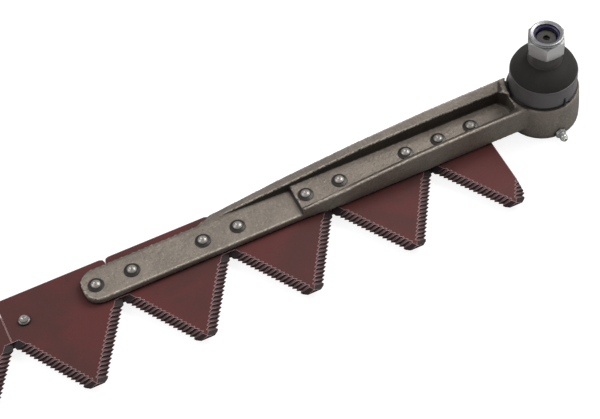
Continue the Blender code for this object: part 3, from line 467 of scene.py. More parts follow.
@dataclass(frozen=True)
class SectionFinish(LeaningFinish):
    """Finish of the sections: ground bevels in painted shade, where one side of each groove gets painted
    highlight.
    """

    lit: Colour = (0.115, 0.066, 0.067)
    lit_share: float = 0.85
    edge_low: float = 0.0068
    edge_high: float = 0.0091

    def ground(self, graph: Graph, colour: Socket) -> Socket:
        """Colour of the varnish, with bevels in painted shade whose grooves get painted highlight on their
        far side.

        Args:
            graph: takes the material's nodes.
            colour: colour of the finish so far.

        Returns:
            The colour.
        """
        colour = LeaningFinish.ground(self, graph, colour)
        way = graph.axes("Normal")
        lean = graph.rest(graph.fade(graph.math("ABSOLUTE", way["Z"]), 0.93, 0.98))
        # Painted highlight on the far side of each groove.
        far = graph.times(graph.fade(way["Y"], -0.10, 0.12), lean)
        return graph.cover(colour, far, self.lit_share, rgba(self.lit))

    def edge_wear_and_highlight(self, graph: Graph) -> Socket:
        """Edges get painted highlight with wear high up on the bevels, and stay dark down at the cutting
        edge.
        """
        high = graph.fade(graph.axes("Object")["Z"], self.edge_low, self.edge_high)
        return graph.times(high, self.edge_share)


@dataclass(frozen=True)
class RingedFinish(Finish):
    """Finish with a dark ring of painted shade, where the piece's mesh carries the marking attribute."""

    ring_shade: Colour = (0.022, 0.018, 0.015)
    ring_shade_share: float = 0.95

    def ground(self, graph: Graph, colour: Socket) -> Socket:
        """Colour of the finish, mixed to painted shade where the attribute is high."""
        mark = graph.node("ShaderNodeAttribute", attribute_name=RING_SHADE).outputs["Fac"]
        return graph.cover(colour, mark, self.ring_shade_share, rgba(self.ring_shade))


@dataclass(frozen=True)
class ForgedFinish(Finish):
    """Finish of the forging, with painted shade on the walls inside its channel.

    The places are in metres along the axes of the knife.
    """

    # Dark colour: painted shade on the channel walls, and the darker back rib.
    dark_tone: Colour = (0.016, 0.012, 0.008)
    painted_shade_share: float = 0.86
    wall_y: float = 0.0030
    seam_share: float = 0.85
    seam_from: float = -0.0152
    seam_to: float = -0.0114
    seam_left: float = -0.1500
    seam_start: float = 0.02
    rib_y: float = 0.0078
    rib_share: float = 0.30
    end_from: float = -0.0500
    arm_top: float = 0.0140
    riser_top: float = 0.0190
    arm_end: float = -0.0290
    housing_share: float = 0.85
    soft: float = 0.0004
    wide: float = 0.004

    def ground(self, graph: Graph, colour: Socket) -> Socket:
        """Colour of the forging, with painted shade on walls that face the teeth, and darker on the back
        rib.

        Args:
            graph: takes the material's nodes.
            colour: colour of the finish so far.

        Returns:
            The colour.
        """
        spot, faces = graph.axes("Object"), graph.axes("Normal")
        # Painted shade on walls that face the teeth, steps that face left, sides that face back and the
        # line behind the front rib.
        inside = graph.fade(spot["Y"], self.wall_y - 2 * self.soft, self.wall_y + self.soft / 2)
        on_arm = graph.rest(graph.fade(spot["X"], self.arm_end, self.arm_end + self.wide))
        front = graph.fade(graph.times(faces["Y"], -1.0), 0.10, 0.45)
        wall = graph.times(graph.times(front, inside), graph.fade(faces["Z"], 0.88, 0.62))
        above = graph.fade(spot["Z"], self.arm_top - self.soft / 2, self.arm_top + self.soft / 2)
        below = graph.rest(graph.fade(spot["Z"], self.riser_top, self.riser_top + 1.5 * self.soft))
        ends = graph.math("MAXIMUM", below,
                          graph.fade(spot["X"], self.end_from, self.end_from + self.wide))
        riser = graph.times(graph.fade(graph.times(faces["X"], -1.0), 0.12, 0.4), ends)
        dark = graph.math("MAXIMUM", wall, graph.math("MAXIMUM", self.behind(graph), riser))
        dark = graph.math("MAXIMUM", dark, graph.times(self.seam(graph), self.seam_share))
        dark = graph.times(dark, graph.times(above, on_arm))
        # The back rib is made darker with the same colour.
        rib = graph.fade(spot["Y"], self.rib_y - self.soft, self.rib_y + 3 * self.soft)
        colour = graph.cover(colour, graph.times(rib, on_arm), self.rib_share, rgba(self.dark_tone))
        return graph.cover(colour, dark, self.painted_shade_share, rgba(self.dark_tone))

    @staticmethod
    def behind(graph: Graph) -> Socket:
        """Edges and sides that face away from the teeth, which get painted shade."""
        return graph.fade(graph.axes("Normal")["Y"], 0.08, 0.35)

    def seam(self, graph: Graph) -> Socket:
        """Line of painted shade behind the crest of the front rib.

        Args:
            graph: takes the material's nodes.

        Returns:
            Mask of the line.
        """
        spot = graph.axes("Object")
        line = graph.times(graph.fade(spot["Y"], self.seam_from - self.soft, self.seam_from + self.soft),
                           graph.fade(spot["Y"], self.seam_to + self.soft, self.seam_to - self.soft))
        line = graph.times(line, graph.fade(spot["X"], self.seam_left - self.seam_start, self.seam_left))
        return graph.times(line, graph.fade(spot["Z"], self.riser_top, self.riser_top + 0.75 * self.soft))

    def raised_wear_and_highlight(self, graph: Graph) -> Socket:
        """The arm gets painted highlight and wear along its edges, the housing far less, and the line of
        painted shade none.

        Args:
            graph: takes the material's nodes.

        Returns:
            How strongly raised places are painted bright, with wear and painted highlight.
        """
        along = graph.fade(graph.axes("Object")["X"], self.arm_end, self.arm_end + 1.5 * self.wide)
        shaded = graph.math("MAXIMUM", self.behind(graph), self.seam(graph))
        kept = graph.rest(graph.math("MAXIMUM", graph.times(along, self.housing_share), shaded))
        return graph.times(kept, self.raised_share)


# The dark lean colour is painted shade on the bevels; the lit colour and the pale edge colour are painted
# highlight, the edges with wear.
VARNISH = SectionFinish("section_varnish_finish", "section_varnish", (0.106, 0.029, 0.027),
                        (0.078, 0.029, 0.027), (0.56, 0.37, 0.36), roughness=0.55, specular=0.2,
                        grain_scale=1400.0, grain_tint=0.25, specks=0.03, bump=0.03, patch_scale=24.0,
                        edge_share=0.9, edge_radius=0.0006, edge_start=0.975, corner_share=1.0,
                        corner_reach=0.0022, lean=(0.009, 0.005, 0.006), lean_share=0.93)
BAR = Finish("rolled_bar_finish", "rolled_bar", (0.09, 0.077, 0.068), (0.06, 0.052, 0.048),
             (0.3, 0.27, 0.24), metallic=0.4, streaks=0.2)
FORGED = ForgedFinish("forged_steel_finish", "forged_steel", (0.245, 0.207, 0.170),
                      (0.195, 0.164, 0.135), (0.66, 0.59, 0.50), metallic=0.3, roughness=0.46,
                      grain_scale=620.0, grain_tint=0.75, specks=0.28, bump=0.6, patch_scale=45.0,
                      edge_share=0.0, raised_share=0.8, corner_share=0.8, corner_reach=0.003,
                      outline_share=0.45)
RIVET = RingedFinish("rivet_steel_finish", "rivet_steel", (0.36, 0.335, 0.31), (0.29, 0.27, 0.25),
                     (0.66, 0.63, 0.59), metallic=0.4, roughness=0.34, bump=0.06, corner_share=0.9,
                     corner_reach=0.002, edge_share=0.2, edge_radius=0.0003)
BRIGHT = Finish("bright_steel_finish", "bright_steel", (0.15, 0.132, 0.115), (0.11, 0.098, 0.085),
                (0.4, 0.37, 0.34), metallic=0.7, roughness=0.4)
STUD_END = Finish("stud_end_finish", "bright_steel", (0.040, 0.035, 0.032), (0.030, 0.027, 0.025),
                  (0.24, 0.22, 0.20), metallic=0.4, edge_radius=0.0005)
# The nut's steep flats are painted lighter and its level tops darker: painted light by slope.
ZINC = LeaningFinish("zinc_plate_finish", "zinc_plate", (0.33, 0.33, 0.325), (0.26, 0.26, 0.255),
                     (0.80, 0.80, 0.79), metallic=0.6, roughness=0.38, bump=0.06, patch_scale=90.0,
                     corner_share=0.95, corner_reach=0.0014, edge_radius=0.0004, outline_share=0.95,
                     lean=(0.62, 0.62, 0.61), lean_share=0.9, lean_from=0.45, level_from=0.80)
FITTING = Finish("fitting_finish", "zinc_plate", (0.66, 0.65, 0.63), (0.50, 0.49, 0.475),
                 (0.85, 0.84, 0.82), metallic=0.6, roughness=0.3, bump=0.04, grain_tint=0.2,
                 patch_scale=120.0, corner_share=0.9, corner_reach=0.0010, edge_radius=0.0003,
                 outline_share=0.6)
NYLON = Finish("violet_nylon_finish", "violet_nylon", (0.030, 0.024, 0.095), (0.02, 0.016, 0.06),
               (0.12, 0.11, 0.26), roughness=0.4, bump=0.02, edge_radius=0.0004)
RESIN = Finish("seat_resin_finish", "seat_resin", (0.55, 0.52, 0.45), (0.5, 0.47, 0.4),
               (0.7, 0.68, 0.62), bump=0.02)
RUBBER = Finish("boot_rubber_finish", "boot_rubber", (0.042, 0.039, 0.036), (0.035, 0.032, 0.030),
                (0.06, 0.055, 0.05), roughness=0.7, specular=0.06, grain_tint=0.25, bump=0.03,
                edge_share=0.3, corner_share=0.5)
# The band is the boot's rubber in a lighter tone: painted reflection on its upright side.
BAND = Finish("boot_band_finish", "boot_rubber", (0.100, 0.090, 0.093), (0.082, 0.073, 0.076),
              (0.22, 0.20, 0.20), roughness=0.42, grain_tint=0.25, bump=0.03, edge_share=0.3)
NECK = Finish("boot_neck_finish", "boot_rubber", (0.055, 0.049, 0.044), (0.044, 0.039, 0.035),
              (0.12, 0.11, 0.10), roughness=0.45, grain_tint=0.25, bump=0.03, edge_share=0.3)
WIRE = Finish("blackened_wire_finish", "blackened_wire", (0.014, 0.013, 0.012), (0.011, 0.010, 0.010),
              (0.03, 0.028, 0.026), metallic=0.3, roughness=0.45, edge_share=0.0)


# ---------------------------------------------------------------- modelling


class Shop:
    """Models pieces with Blender's own tools and hands them over to the frame."""

    def __init__(self) -> None:
        """Start with no pieces made."""
        self.count = 0

    @staticmethod
    def clear() -> None:
        """Deselect everything, so that no tool works on another piece."""
        if bpy.context.object and bpy.context.object.mode != "OBJECT":
            bpy.ops.object.mode_set(mode="OBJECT")
        bpy.ops.object.select_all(action="DESELECT")

    def pick(self, obj: bpy.types.Object) -> None:
        """Make one object the only selected and active one."""
        self.clear()
        obj.select_set(True)
        bpy.context.view_layer.objects.active = obj

    @staticmethod
    def settle(name: str | None = None) -> bpy.types.Object:
        """Put the place of a new primitive into its mesh, and name it.

        Args:
            name: name of the object, if it is to be kept.

        Returns:
            The object.
        """
        obj = bpy.context.object
        if name:
            obj.name = obj.data.name = name
        bpy.ops.object.transform_apply(location=True, rotation=True, scale=True)
        return obj

    def turned(self, name: str, profile: Profile, steps: int = 64) -> bpy.types.Object:
        """Turn a profile round the Z axis, as on a lathe.

        Args:
            name: name of the new object.
            profile: (radius, height) points. It starts and ends on the axis, or closes on itself.
            steps: sides of the turned piece.

        Returns:
            The new object, at the origin.
        """
        self.clear()
        bpy.ops.mesh.primitive_plane_add(size=0.01)
        obj = self.settle(name)
        closed = profile[0][0] > 0.0
        bpy.ops.object.mode_set(mode="EDIT")
        bpy.ops.mesh.merge(type="CENTER")
        bpy.ops.transform.translate(value=(profile[0][0], 0.0, profile[0][1]))
        for (radius, height), (wider, higher) in zip(profile, profile[1:] + profile[:1] * closed):
            bpy.ops.mesh.extrude_region_move(
                TRANSFORM_OT_translate={"value": (wider - radius, 0.0, higher - height)})
        bpy.ops.mesh.select_all(action="SELECT")
        bpy.ops.mesh.spin(steps=steps, angle=math.tau, center=(0.0, 0.0, 0.0), axis=(0.0, 0.0, 1.0))
        bpy.ops.mesh.select_all(action="SELECT")
        bpy.ops.mesh.remove_doubles(threshold=WELD)
        bpy.ops.mesh.normals_make_consistent(inside=False)
        bpy.ops.object.mode_set(mode="OBJECT")
        return obj

    def hexagon(self, name: str, radius: float, low: float, high: float,
                turn: float = 0.0) -> bpy.types.Object:
        """Upright prism with six sides.

        Args:
            name: name of the new object.
            radius: from its middle to its corners.
            low: height of its foot.
            high: height of its top.
            turn: angle of its first corner, in degrees.

        Returns:
            The new object, at the origin.
        """
        self.clear()
        bpy.ops.mesh.primitive_cylinder_add(vertices=6, radius=radius, depth=high - low,
                                            location=(0.0, 0.0, (low + high) / 2),
                                            rotation=(0.0, 0.0, math.radians(turn)))
        return self.settle(name)

    def shape(self, obj: bpy.types.Object, kind: str, **settings) -> None:
        """Add a modifier to a piece and apply it.

        Args:
            obj: the piece.
            kind: Blender's name of the modifier's type.
            settings: properties of the modifier.
        """
        made = obj.modifiers.new(kind.title(), kind)
        for name, value in settings.items():
            setattr(made, name, value)
        self.pick(obj)
        bpy.ops.object.modifier_apply(modifier=made.name)

    def cut(self, obj: bpy.types.Object, tool: bpy.types.Object, operation: str = "DIFFERENCE") -> None:
        """Boolean with a tool that is used up by it."""
        self.shape(obj, "BOOLEAN", object=tool, operation=operation, solver="EXACT")
        bpy.data.objects.remove(tool, do_unlink=True)

    def smooth(self, obj: bpy.types.Object, angle: float = 40.0) -> None:
        """Shade smooth, with creases above an angle."""
        self.pick(obj)
        bpy.ops.object.shade_smooth_by_angle(angle=math.radians(angle))

    def copy(self, master: bpy.types.Object, name: str, place: Matrix) -> bpy.types.Object:
        """Copy of a piece with its own mesh, its place in the mesh.

        Args:
            master: the piece.
            name: name of the copy.
            place: where the copy goes.

        Returns:
            The copy, at the origin.
        """
        mesh = master.data.copy()
        mesh.name = name
        mesh.transform(place)
        made = bpy.data.objects.new(name, mesh)
        bpy.context.scene.collection.objects.link(made)
        return made

    def from_node(self, node: str, name: str) -> bpy.types.Object:
        """Copy of a CAD node's mesh with its seams merged.

        Args:
            node: the CAD node.
            name: name of the copy.

        Returns:
            The copy, at the origin.
        """
        made = self.copy(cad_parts[node], name, Matrix.Identity(4))
        made.data.materials.clear()
        self.pick(made)
        bpy.ops.object.mode_set(mode="EDIT")
        bpy.ops.mesh.select_all(action="SELECT")
        bpy.ops.mesh.remove_doubles(threshold=SEAM_WELD)
        bpy.ops.object.mode_set(mode="OBJECT")
        return made

    def hand_over(self, obj: bpy.types.Object, finish: Finish, body: Body | tuple[Body, Body, float, float],
                  *nodes: str) -> None:
        """Dress a new piece and tie it to the frame.

        Args:
            obj: the finished piece.
            finish: what it is dressed in.
            body: the body it rides on, or two bodies and two heights; the heights are not used, and such a
                piece only has its place put into its mesh.
            nodes: CAD nodes it stands for.
        """
        obj.data.materials.clear()
        obj.data.materials.append(finish.material())
        if isinstance(body, Body):
            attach(obj, body.value)
        else:
            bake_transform(obj)
        if nodes:
            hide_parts(*nodes)
        self.count += 1
        log.info("piece %s: %d faces, %s", obj.name, len(obj.data.polygons), finish.name)

    def dress(self, node: str, finish: Finish) -> None:
        """Give a CAD node that is shown itself its finish.

        Args:
            node: the CAD node.
            finish: what it is dressed in.
        """
        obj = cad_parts[node]
        obj.data.materials.clear()
        obj.data.materials.append(finish.material())
        log.info("node %s: %s", node, finish.name)


# ---------------------------------------------------------------- sub-assemblies


@dataclass
class CuttingSide:
    """The twelve serrated sections on their flat bar."""

    sections: int = 12

    def build(self, shop: Shop) -> None:
        """Dress the sections and the bar."""
        for number in range(1, self.sections + 1):
            shop.dress("section_%02d" % number, VARNISH)
        shop.dress("knife_back", BAR)


class Seat(Enum):
    """What a rivet's head rests on: height of the face and whether the head is a dome."""

    SECTION = (0.0093, False)
    PLATE = (0.0153, True)
    CHANNEL = (0.0193, True)


@dataclass
class Rivets:
    """Rivets with dimpled heads, each kind modelled once.

    The points of dimples and feet are (radius, height) steps, in metres.
    """

    shank: float = 0.0027
    dome: float = 0.0034
    rise: float = 0.0026
    dome_dimple: Points = ((0.0, -0.00055), (0.0006, -0.00050), (0.0010, -0.00020), (0.0013, -0.00008))
    dome_turns: tuple[float, ...] = (62.0, 50.0, 38.0, 26.0, 14.0, 4.0)
    skirt: float = 0.0055
    skirt_top: float = 0.0008
    skirt_start: Points = ((0.0001, -0.0002),)
    skirt_rim: Points = ((-0.0002, 0.0003), (0.0, 0.0))
    cone: float = 0.0039
    cone_top: float = 0.0029
    cone_dimple: Points = ((0.0, -0.0007), (0.0008, -0.00062), (0.0012, -0.0003), (0.0015, -0.00015))
    cone_rim: Points = ((-0.0003, 0.0), (0.0, -0.0003))
    cone_foot: Points = ((-0.0009, 0.0012), (0.0, 0.0009), (0.0002, 0.0004), (0.0, 0.0))
    sunk: float = 0.0043
    sunk_top: float = 0.0025
    bottom: float = 0.0003
    ring_in: float = 0.0001
    bare: int = 15
    on_plate: int = 19
    steps: int = 32

    def profile(self, seat: Seat) -> Profile:
        """Half section of a rivet, from the dimple down to its sunk end.

        Args:
            seat: what the head rests on.

        Returns:
            The (radius, height) points.
        """
        low, domed = seat.value
        top = low + self.rise
        if domed:
            head = offset(self.dome_dimple, 0.0, top)
            head += arc(low + self.skirt_top, self.dome, self.rise - self.skirt_top, self.dome_turns)
            head += offset(self.skirt_start, self.dome, low + self.skirt_top)
            head += offset(self.skirt_rim, self.skirt, low)
        else:
            head = offset(self.cone_dimple, 0.0, top)
            head += offset(self.cone_rim, self.cone_top, top) + offset(self.cone_foot, self.cone, low)
        return head + [(self.shank, low), (self.shank, self.sunk_top), (self.sunk, self.bottom),
                       (0.0, self.bottom)]

    def mark_ring(self, master: bpy.types.Object) -> None:
        """Mark the ring round a head, which gets painted shade.

        Args:
            master: the rivet.
        """
        mark = master.data.attributes.new(RING_SHADE, "FLOAT", "POINT")
        for vertex, value in zip(master.data.vertices, mark.data):
            # Vertices out on the skirt get the painted shade.
            value.value = float(vertex.co.to_2d().length > self.dome - self.ring_in)

    def build(self, shop: Shop) -> None:
        """Model the three kinds and set them in place of the CAD rivets.

        Args:
            shop: models the pieces.
        """
        masters = {seat: shop.turned(seat.name.lower() + "_rivet", self.profile(seat), self.steps)
                   for seat in Seat}
        for master in masters.values():
            shop.smooth(master)
            self.mark_ring(master)
        numbers = [name for name in sorted(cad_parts) if name.startswith("rivet_")]
        for number, node in enumerate(numbers, start=1):
            low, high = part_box(node)
            middle = (low + high) / 2
            seat = Seat.SECTION if number <= self.bare else Seat.CHANNEL
            if self.bare < number <= self.on_plate:
                seat = Seat.PLATE
            place = Matrix.Translation((middle.x, middle.y, 0.0))
            made = shop.copy(masters[seat], "visual_" + node, place)
            shop.hand_over(made, RIVET, Body.KNIFE, node)
        for master in masters.values():
            bpy.data.objects.remove(master, do_unlink=True)


@dataclass
class KnifeHead:
    """The forging with its plate, ribbed channel and ball housing."""

    grain: float = 0.00080
    softness: int = 5
    soft_share: float = 0.5
    skew: float = 27.0
    skew_axis: Colour = (0.55, 0.50, 0.67)
    crease: float = 50.0
    wall_y: float = 0.0050
    wall_band: float = 0.0016
    foot_z: float = 0.0145
    crest_z: float = 0.0225
    wall_start: float = -0.2000
    wall_end: float = -0.0310
    left: float = -0.1500
    right: float = -0.0500
    foot_back: tuple[float, float] = (0.0036, 0.0022)
    crest_drop: tuple[float, float] = (0.0005, 0.0030)

    def build(self, shop: Shop) -> None:
        """Soften the CAD forging, as its dies left it, and close it from below.

        The forging is skewed while it is meshed anew, so that its long edges don't run along
        the rows of the new mesh, which would leave steps in them.

        Args:
            shop: models the pieces.
        """
        forging = shop.from_node("knife_head", "visual_knife_head")
        self.lean_rib(forging)
        skewed = Matrix.Rotation(math.radians(self.skew), 4, Vector(self.skew_axis))
        forging.data.transform(skewed)
        shop.shape(forging, "REMESH", mode="VOXEL", voxel_size=self.grain)
        shop.shape(forging, "SMOOTH", factor=self.soft_share, iterations=self.softness)
        forging.data.transform(skewed.inverted())
        shop.smooth(forging, self.crease)
        shop.hand_over(forging, FORGED, Body.KNIFE, "knife_head")
        for node in ("closing_cap", "retaining_ring", "preload_spring"):
            shop.dress(node, BRIGHT)
        for node in ("upper_ball_seat", "lower_ball_seat"):
            shop.dress(node, RESIN)

    def lean_rib(self, forging: bpy.types.Object) -> None:
        """Set the channel's back wall back and let the top of its rib fall to the crest.

        Args:
            forging: the forging, before it is meshed anew.
        """
        for vertex in forging.data.vertices:
            spot = vertex.co
            near = abs(spot.y - self.wall_y) < self.wall_band and spot.z > self.foot_z
            if near and self.wall_start < spot.x < self.wall_end:
                share = min(max((spot.x - self.left) / (self.right - self.left), 0.0), 1.0)
                spot.y += self.between(self.foot_back, share)
                if spot.z > self.crest_z:
                    spot.z -= self.between(self.crest_drop, share)

    @staticmethod
    def between(ends: tuple[float, float], share: float) -> float:
        """Value at a share of the way from one end to the other."""
        return ends[0] + (ends[1] - ends[0]) * share


@dataclass
class Boot:
    """Rubber boot in two pieces, its wire ring and its neck ring.

    The points of edges are (radius, height) steps, in metres.
    """

    radius: float = 0.0240
    wall: float = 0.0021
    bottom: float = 0.0294
    wire_z: float = 0.0303
    wire: float = 0.0006
    wire_out: float = 0.0003
    groove: float = 1.1
    band_top: float = 0.0464
    band_edge: Points = ((-0.0006, 0.0002), (-0.0002, 0.0001), (0.0, -0.0003))
    dome_in: float = 0.0005
    neck_z: float = 0.0578
    top: float = 0.0673
    neck: float = 0.0118
    bore: float = 0.0093
    neck_in: Points = ((0.0008, 0.0002),)
    neck_under: Points = ((0.0008, 0.0),)
    sleeve_edge: Points = ((-0.0012, 0.0), (-0.0005, -0.0003), (-0.0002, -0.0010))
    sleeve_foot: Points = ((-0.0002, 0.0020), (0.0001, 0.0010), (0.0008, 0.0))
    sleeve_low: float = 0.0004
    bend: tuple[float, float, float] = (0.001, 0.0005, 0.001)
    gap_at: float = -76.0
    gap: float = 10.0
    tang_rise: float = 0.0062
    curve: float = 1.4
    curve_steps: int = 14
    rows: int = 10
    steps: int = 96
    wire_steps: tuple[int, int] = (120, 12)

    def dome(self, inner: float, outer: float, high: float, low: float) -> Profile:
        """Curve of the dome from its neck out and down to the band.

        Args:
            inner: radius at the neck.
            outer: radius at the band.
            high: height at the neck.
            low: height at the band.

        Returns:
            The (radius, height) points.
        """
        points = []
        for step in range(1, self.curve_steps + 1):
            turn = math.pi / 2 * step / self.curve_steps
            fall = 1.0 - max(math.cos(turn), 0.0) ** self.curve
            points.append((inner + (outer - inner) * math.sin(turn), high + (low - high) * fall))
        return points

    def build(self, shop: Shop) -> None:
        """Model the boot and lay the wire round it.

        Args:
            shop: models the pieces.
        """
        at_wire, above_band, below_neck = self.bend
        band = shop.turned("visual_boot_band", self.band(), self.steps)
        shop.smooth(band)
        shop.hand_over(band, BAND, (Body.KNIFE, Body.BOOT, self.wire_z + at_wire,
                                    self.band_top - at_wire), "dust_boot")
        under = self.neck_z - self.wall
        cap = offset(self.neck_in, self.bore, self.neck_z) + [(self.neck, self.neck_z + self.neck_in[0][1])]
        cap += self.dome(self.neck, self.radius - self.dome_in, self.neck_z, self.band_top)
        cap += self.dome(self.bore, self.radius - self.wall, under, self.band_top)[::-1]
        cap = shop.turned("visual_boot_dome", cap + offset(self.neck_under, self.bore, under), self.steps)
        shop.smooth(cap)
        shop.hand_over(cap, RUBBER, (Body.BOOT, Body.BOOT_NECK, self.band_top + above_band,
                                     self.neck_z - below_neck), "dust_boot")
        self.neck_sleeve(shop)
        self.wire_ring(shop)
        shop.dress("boot_neck_ring", BRIGHT)

    def band(self) -> Profile:
        """Half section of the band, with rows up its side and the wire's groove.

        Returns:
            The (radius, height) points.
        """
        inner, deep = self.radius - self.wall, self.radius - self.wire
        high, low = self.wire_z + self.wire * self.groove, self.wire_z - self.wire * self.groove
        points = offset(self.band_edge, self.radius, self.band_top)
        start = points[-1][1]
        points += [(self.radius, start + (high - start) * row / self.rows)
                   for row in range(1, self.rows + 1)]
        points += [(deep, high), (deep, low), (self.radius, low), (self.radius, self.bottom)]
        return points + [(inner, self.bottom + (self.band_top - self.bottom) * row / self.rows)
                         for row in range(self.rows + 1)]

    def neck_sleeve(self, shop: Shop) -> None:
        """Sleeve of the boot round the stud, rounded at its top and its foot.

        Args:
            shop: models the pieces.
        """
        low = self.neck_z - self.sleeve_low
        sleeve = shop.turned("visual_boot_neck", [
            (self.bore, self.top), *offset(self.sleeve_edge, self.neck, self.top),
            *offset(self.sleeve_foot, self.neck, low), (self.bore, low)], self.steps)
        shop.smooth(sleeve)
        shop.hand_over(sleeve, NECK, Body.BOOT_NECK, "dust_boot")

    def wire_ring(self, shop: Shop) -> None:
        """Round wire in the groove of the boot, with its split.

        Args:
            shop: models the pieces.
        """
        shop.clear()
        around, across = self.wire_steps
        bpy.ops.mesh.primitive_torus_add(major_segments=around, minor_segments=across,
                                         minor_radius=self.wire, location=(0.0, 0.0, self.wire_z),
                                         major_radius=self.radius + self.wire_out)
        ring = shop.settle("visual_boot_base_ring")
        middle = math.radians(self.gap_at)
        wide = 2 * self.radius * math.tan(math.radians(self.gap / 2))
        thick = 10 * self.wire
        bpy.ops.mesh.primitive_cube_add(size=1.0, scale=(thick, wide, thick), rotation=(0.0, 0.0, middle),
                                        location=(self.radius * math.cos(middle),
                                                  self.radius * math.sin(middle), self.wire_z))
        shop.cut(ring, bpy.context.object)
        self.tang(shop, ring, middle - math.radians(self.gap / 2))
        shop.smooth(ring)
        shop.hand_over(ring, WIRE, Body.KNIFE, "boot_base_ring")

    def tang(self, shop: Shop, ring: bpy.types.Object, angle: float) -> None:
        """Short end of the wire, bent up against the boot beside the split.

        Args:
            shop: models the pieces.
            ring: the wire ring, which the end is joined to.
            angle: where it stands on the ring, in radians.
        """
        shop.clear()
        reach = self.radius + self.wire_out
        bpy.ops.mesh.primitive_cone_add(vertices=self.wire_steps[1], radius1=2.0 * self.wire,
                                        radius2=self.wire / 2, depth=self.tang_rise,
                                        location=(reach * math.cos(angle), reach * math.sin(angle),
                                                  self.wire_z + self.tang_rise / 2))
        shop.settle()
        ring.select_set(True)
        bpy.context.view_layer.objects.active = ring
        bpy.ops.object.join()


@dataclass
class BallStud:
    """Ball stud with its lock nut and the nylon ring in it.

    The points of edges and rings are (radius, height) steps, in metres.
    """

    ball: float = 0.0127
    ball_steps: int = 22
    centre: float = 0.0192
    neck: float = 0.0070
    shoulder: float = 0.0089
    shoulder_z: float = 0.0471
    taper_top: float = 0.0650
    thread: float = 0.0078
    thread_depth: float = 0.0007
    thread_start: float = 0.0012
    pitch: float = 0.0015
    top: float = 0.0778
    end_edge: Points = ((-0.0012, 0.0), (-0.0002, -0.0010))
    hole: float = 0.0022
    hole_depth: float = 0.0040
    hole_edge: Points = ((0.0, -0.0003), (0.0004, 0.0))
    nut_low: float = 0.0676
    nut_hex_top: float = 0.0798
    nut_top: float = 0.0826
    flats: float = 0.0240
    chamfer: float = 30.0
    collar: float = 0.0118
    collar_rings: Points = ((-0.0013, -0.0001), (-0.0008, 0.0), (-0.0003, -0.0002), (0.0, -0.0006),
                            (-0.0002, -0.0009), (-0.0010, -0.0012), (-0.0002, -0.0015), (0.0, -0.0018))
    collar_foot: Points = ((0.0, 0.0004), (-0.0007, 0.0001), (0.0, -0.0002))
    lip: float = 0.0017
    lip_under: float = 0.0012
    mouth: float = 0.0090
    mouth_ring: Points = ((0.0, -0.0014), (0.0, -0.0009), (0.0003, -0.0006), (0.0009, -0.0005))
    bore_play: float = 0.0003
    bore_foot: Points = ((0.0, 0.0006), (0.0009, -0.0003))
    edge: float = 0.00025
    turn: float = -27.5
    insert_low: float = 0.0788
    insert_top: float = 0.0807
    insert_play: float = 0.0001
    insert_edge: float = 0.0003
    steps: int = 72

    def stud_profile(self) -> Profile:
        """Half section of the stud, from its drilled centre down round the ball.

        Returns:
            The (radius, height) points.
        """
        angle = math.acos(self.neck / self.ball)
        neck_end = self.centre + self.ball * math.sin(angle)
        points = [(0.0, self.top - self.hole_depth), (self.hole, self.top - self.hole)]
        points += offset(self.hole_edge, self.hole, self.top) + offset(self.end_edge, self.thread, self.top)
        height = self.top - self.thread_start
        while height - self.pitch > self.taper_top:
            points += [(self.thread, height), (self.thread - self.thread_depth, height - self.pitch / 2)]
            height -= self.pitch
        points += [(self.thread, self.taper_top), (self.shoulder, self.shoulder_z),
                   (self.neck, self.shoulder_z - (self.shoulder_z - neck_end) / 2)]
        high = math.degrees(angle)
        turns = tuple(high - (high + 90.0) * step / self.ball_steps for step in range(self.ball_steps))
        return points + arc(self.centre, self.ball, self.ball, turns) + [(0.0, self.centre - self.ball)]

    def build(self, shop: Shop) -> None:
        """Model the stud, the nut and its ring.

        Args:
            shop: models the pieces.
        """
        stud = shop.turned("visual_ball_stud", self.stud_profile(), self.steps)
        shop.smooth(stud, 32.0)
        shop.hand_over(stud, STUD_END, Body.STUD, "ball_stud")
        self.nut(shop)
        low, high, soft = self.insert_low, self.insert_top, self.insert_edge
        wide = self.collar - self.lip - self.insert_play
        inner = self.thread - self.bore_play
        ring = shop.turned("visual_nut_insert",
                           [(wide, high - soft), (wide, low), (inner, low), (inner, high - 2 * soft),
                            (inner + 2 * soft, high), (wide - soft, high)], self.steps)
        shop.smooth(ring)
        shop.hand_over(ring, NYLON, Body.STUD, "nut_insert")

    def nut(self, shop: Shop) -> None:
        """Hexagon with turned chamfers, a rolled collar and a threaded bore.

        Args:
            shop: models the pieces.
        """
        corner, face, mouth, top = self.flats / math.sqrt(3.0), self.flats / 2, self.mouth, self.nut_top
        drop = (corner - face) * math.tan(math.radians(self.chamfer))
        body = [(0.0, top + self.mouth_ring[0][1]), *offset(self.mouth_ring, mouth, top),
                *offset(self.collar_rings, self.collar, top),
                *offset(self.collar_foot, self.collar, self.nut_hex_top),
                (corner, self.nut_hex_top - drop), (corner, self.nut_low + drop),
                (face, self.nut_low), (0.0, self.nut_low)]
        nut = shop.turned("visual_lock_nut", body, self.steps)
        shop.cut(nut, shop.hexagon("nut_flats", corner, 0.0, FAR, self.turn), "INTERSECT")
        bore = self.thread + self.bore_play
        recess, over = self.collar - self.lip, top + self.lip_under
        under, floor = top - self.lip_under, self.insert_low - self.bore_play
        inside = [(0.0, over), (mouth, over), (mouth, under), (recess, under), (recess, floor),
                  (bore, floor), *offset(self.bore_foot, bore, self.nut_low),
                  (0.0, self.nut_low + self.bore_foot[-1][1])]
        shop.cut(nut, shop.turned("nut_inside", inside, self.steps))
        shop.shape(nut, "BEVEL", width=self.edge, segments=2, limit_method="ANGLE",
                   angle_limit=math.radians(30.0), use_clamp_overlap=True)
        shop.smooth(nut, 35.0)
        shop.hand_over(nut, ZINC, Body.STUD, "lock_nut")


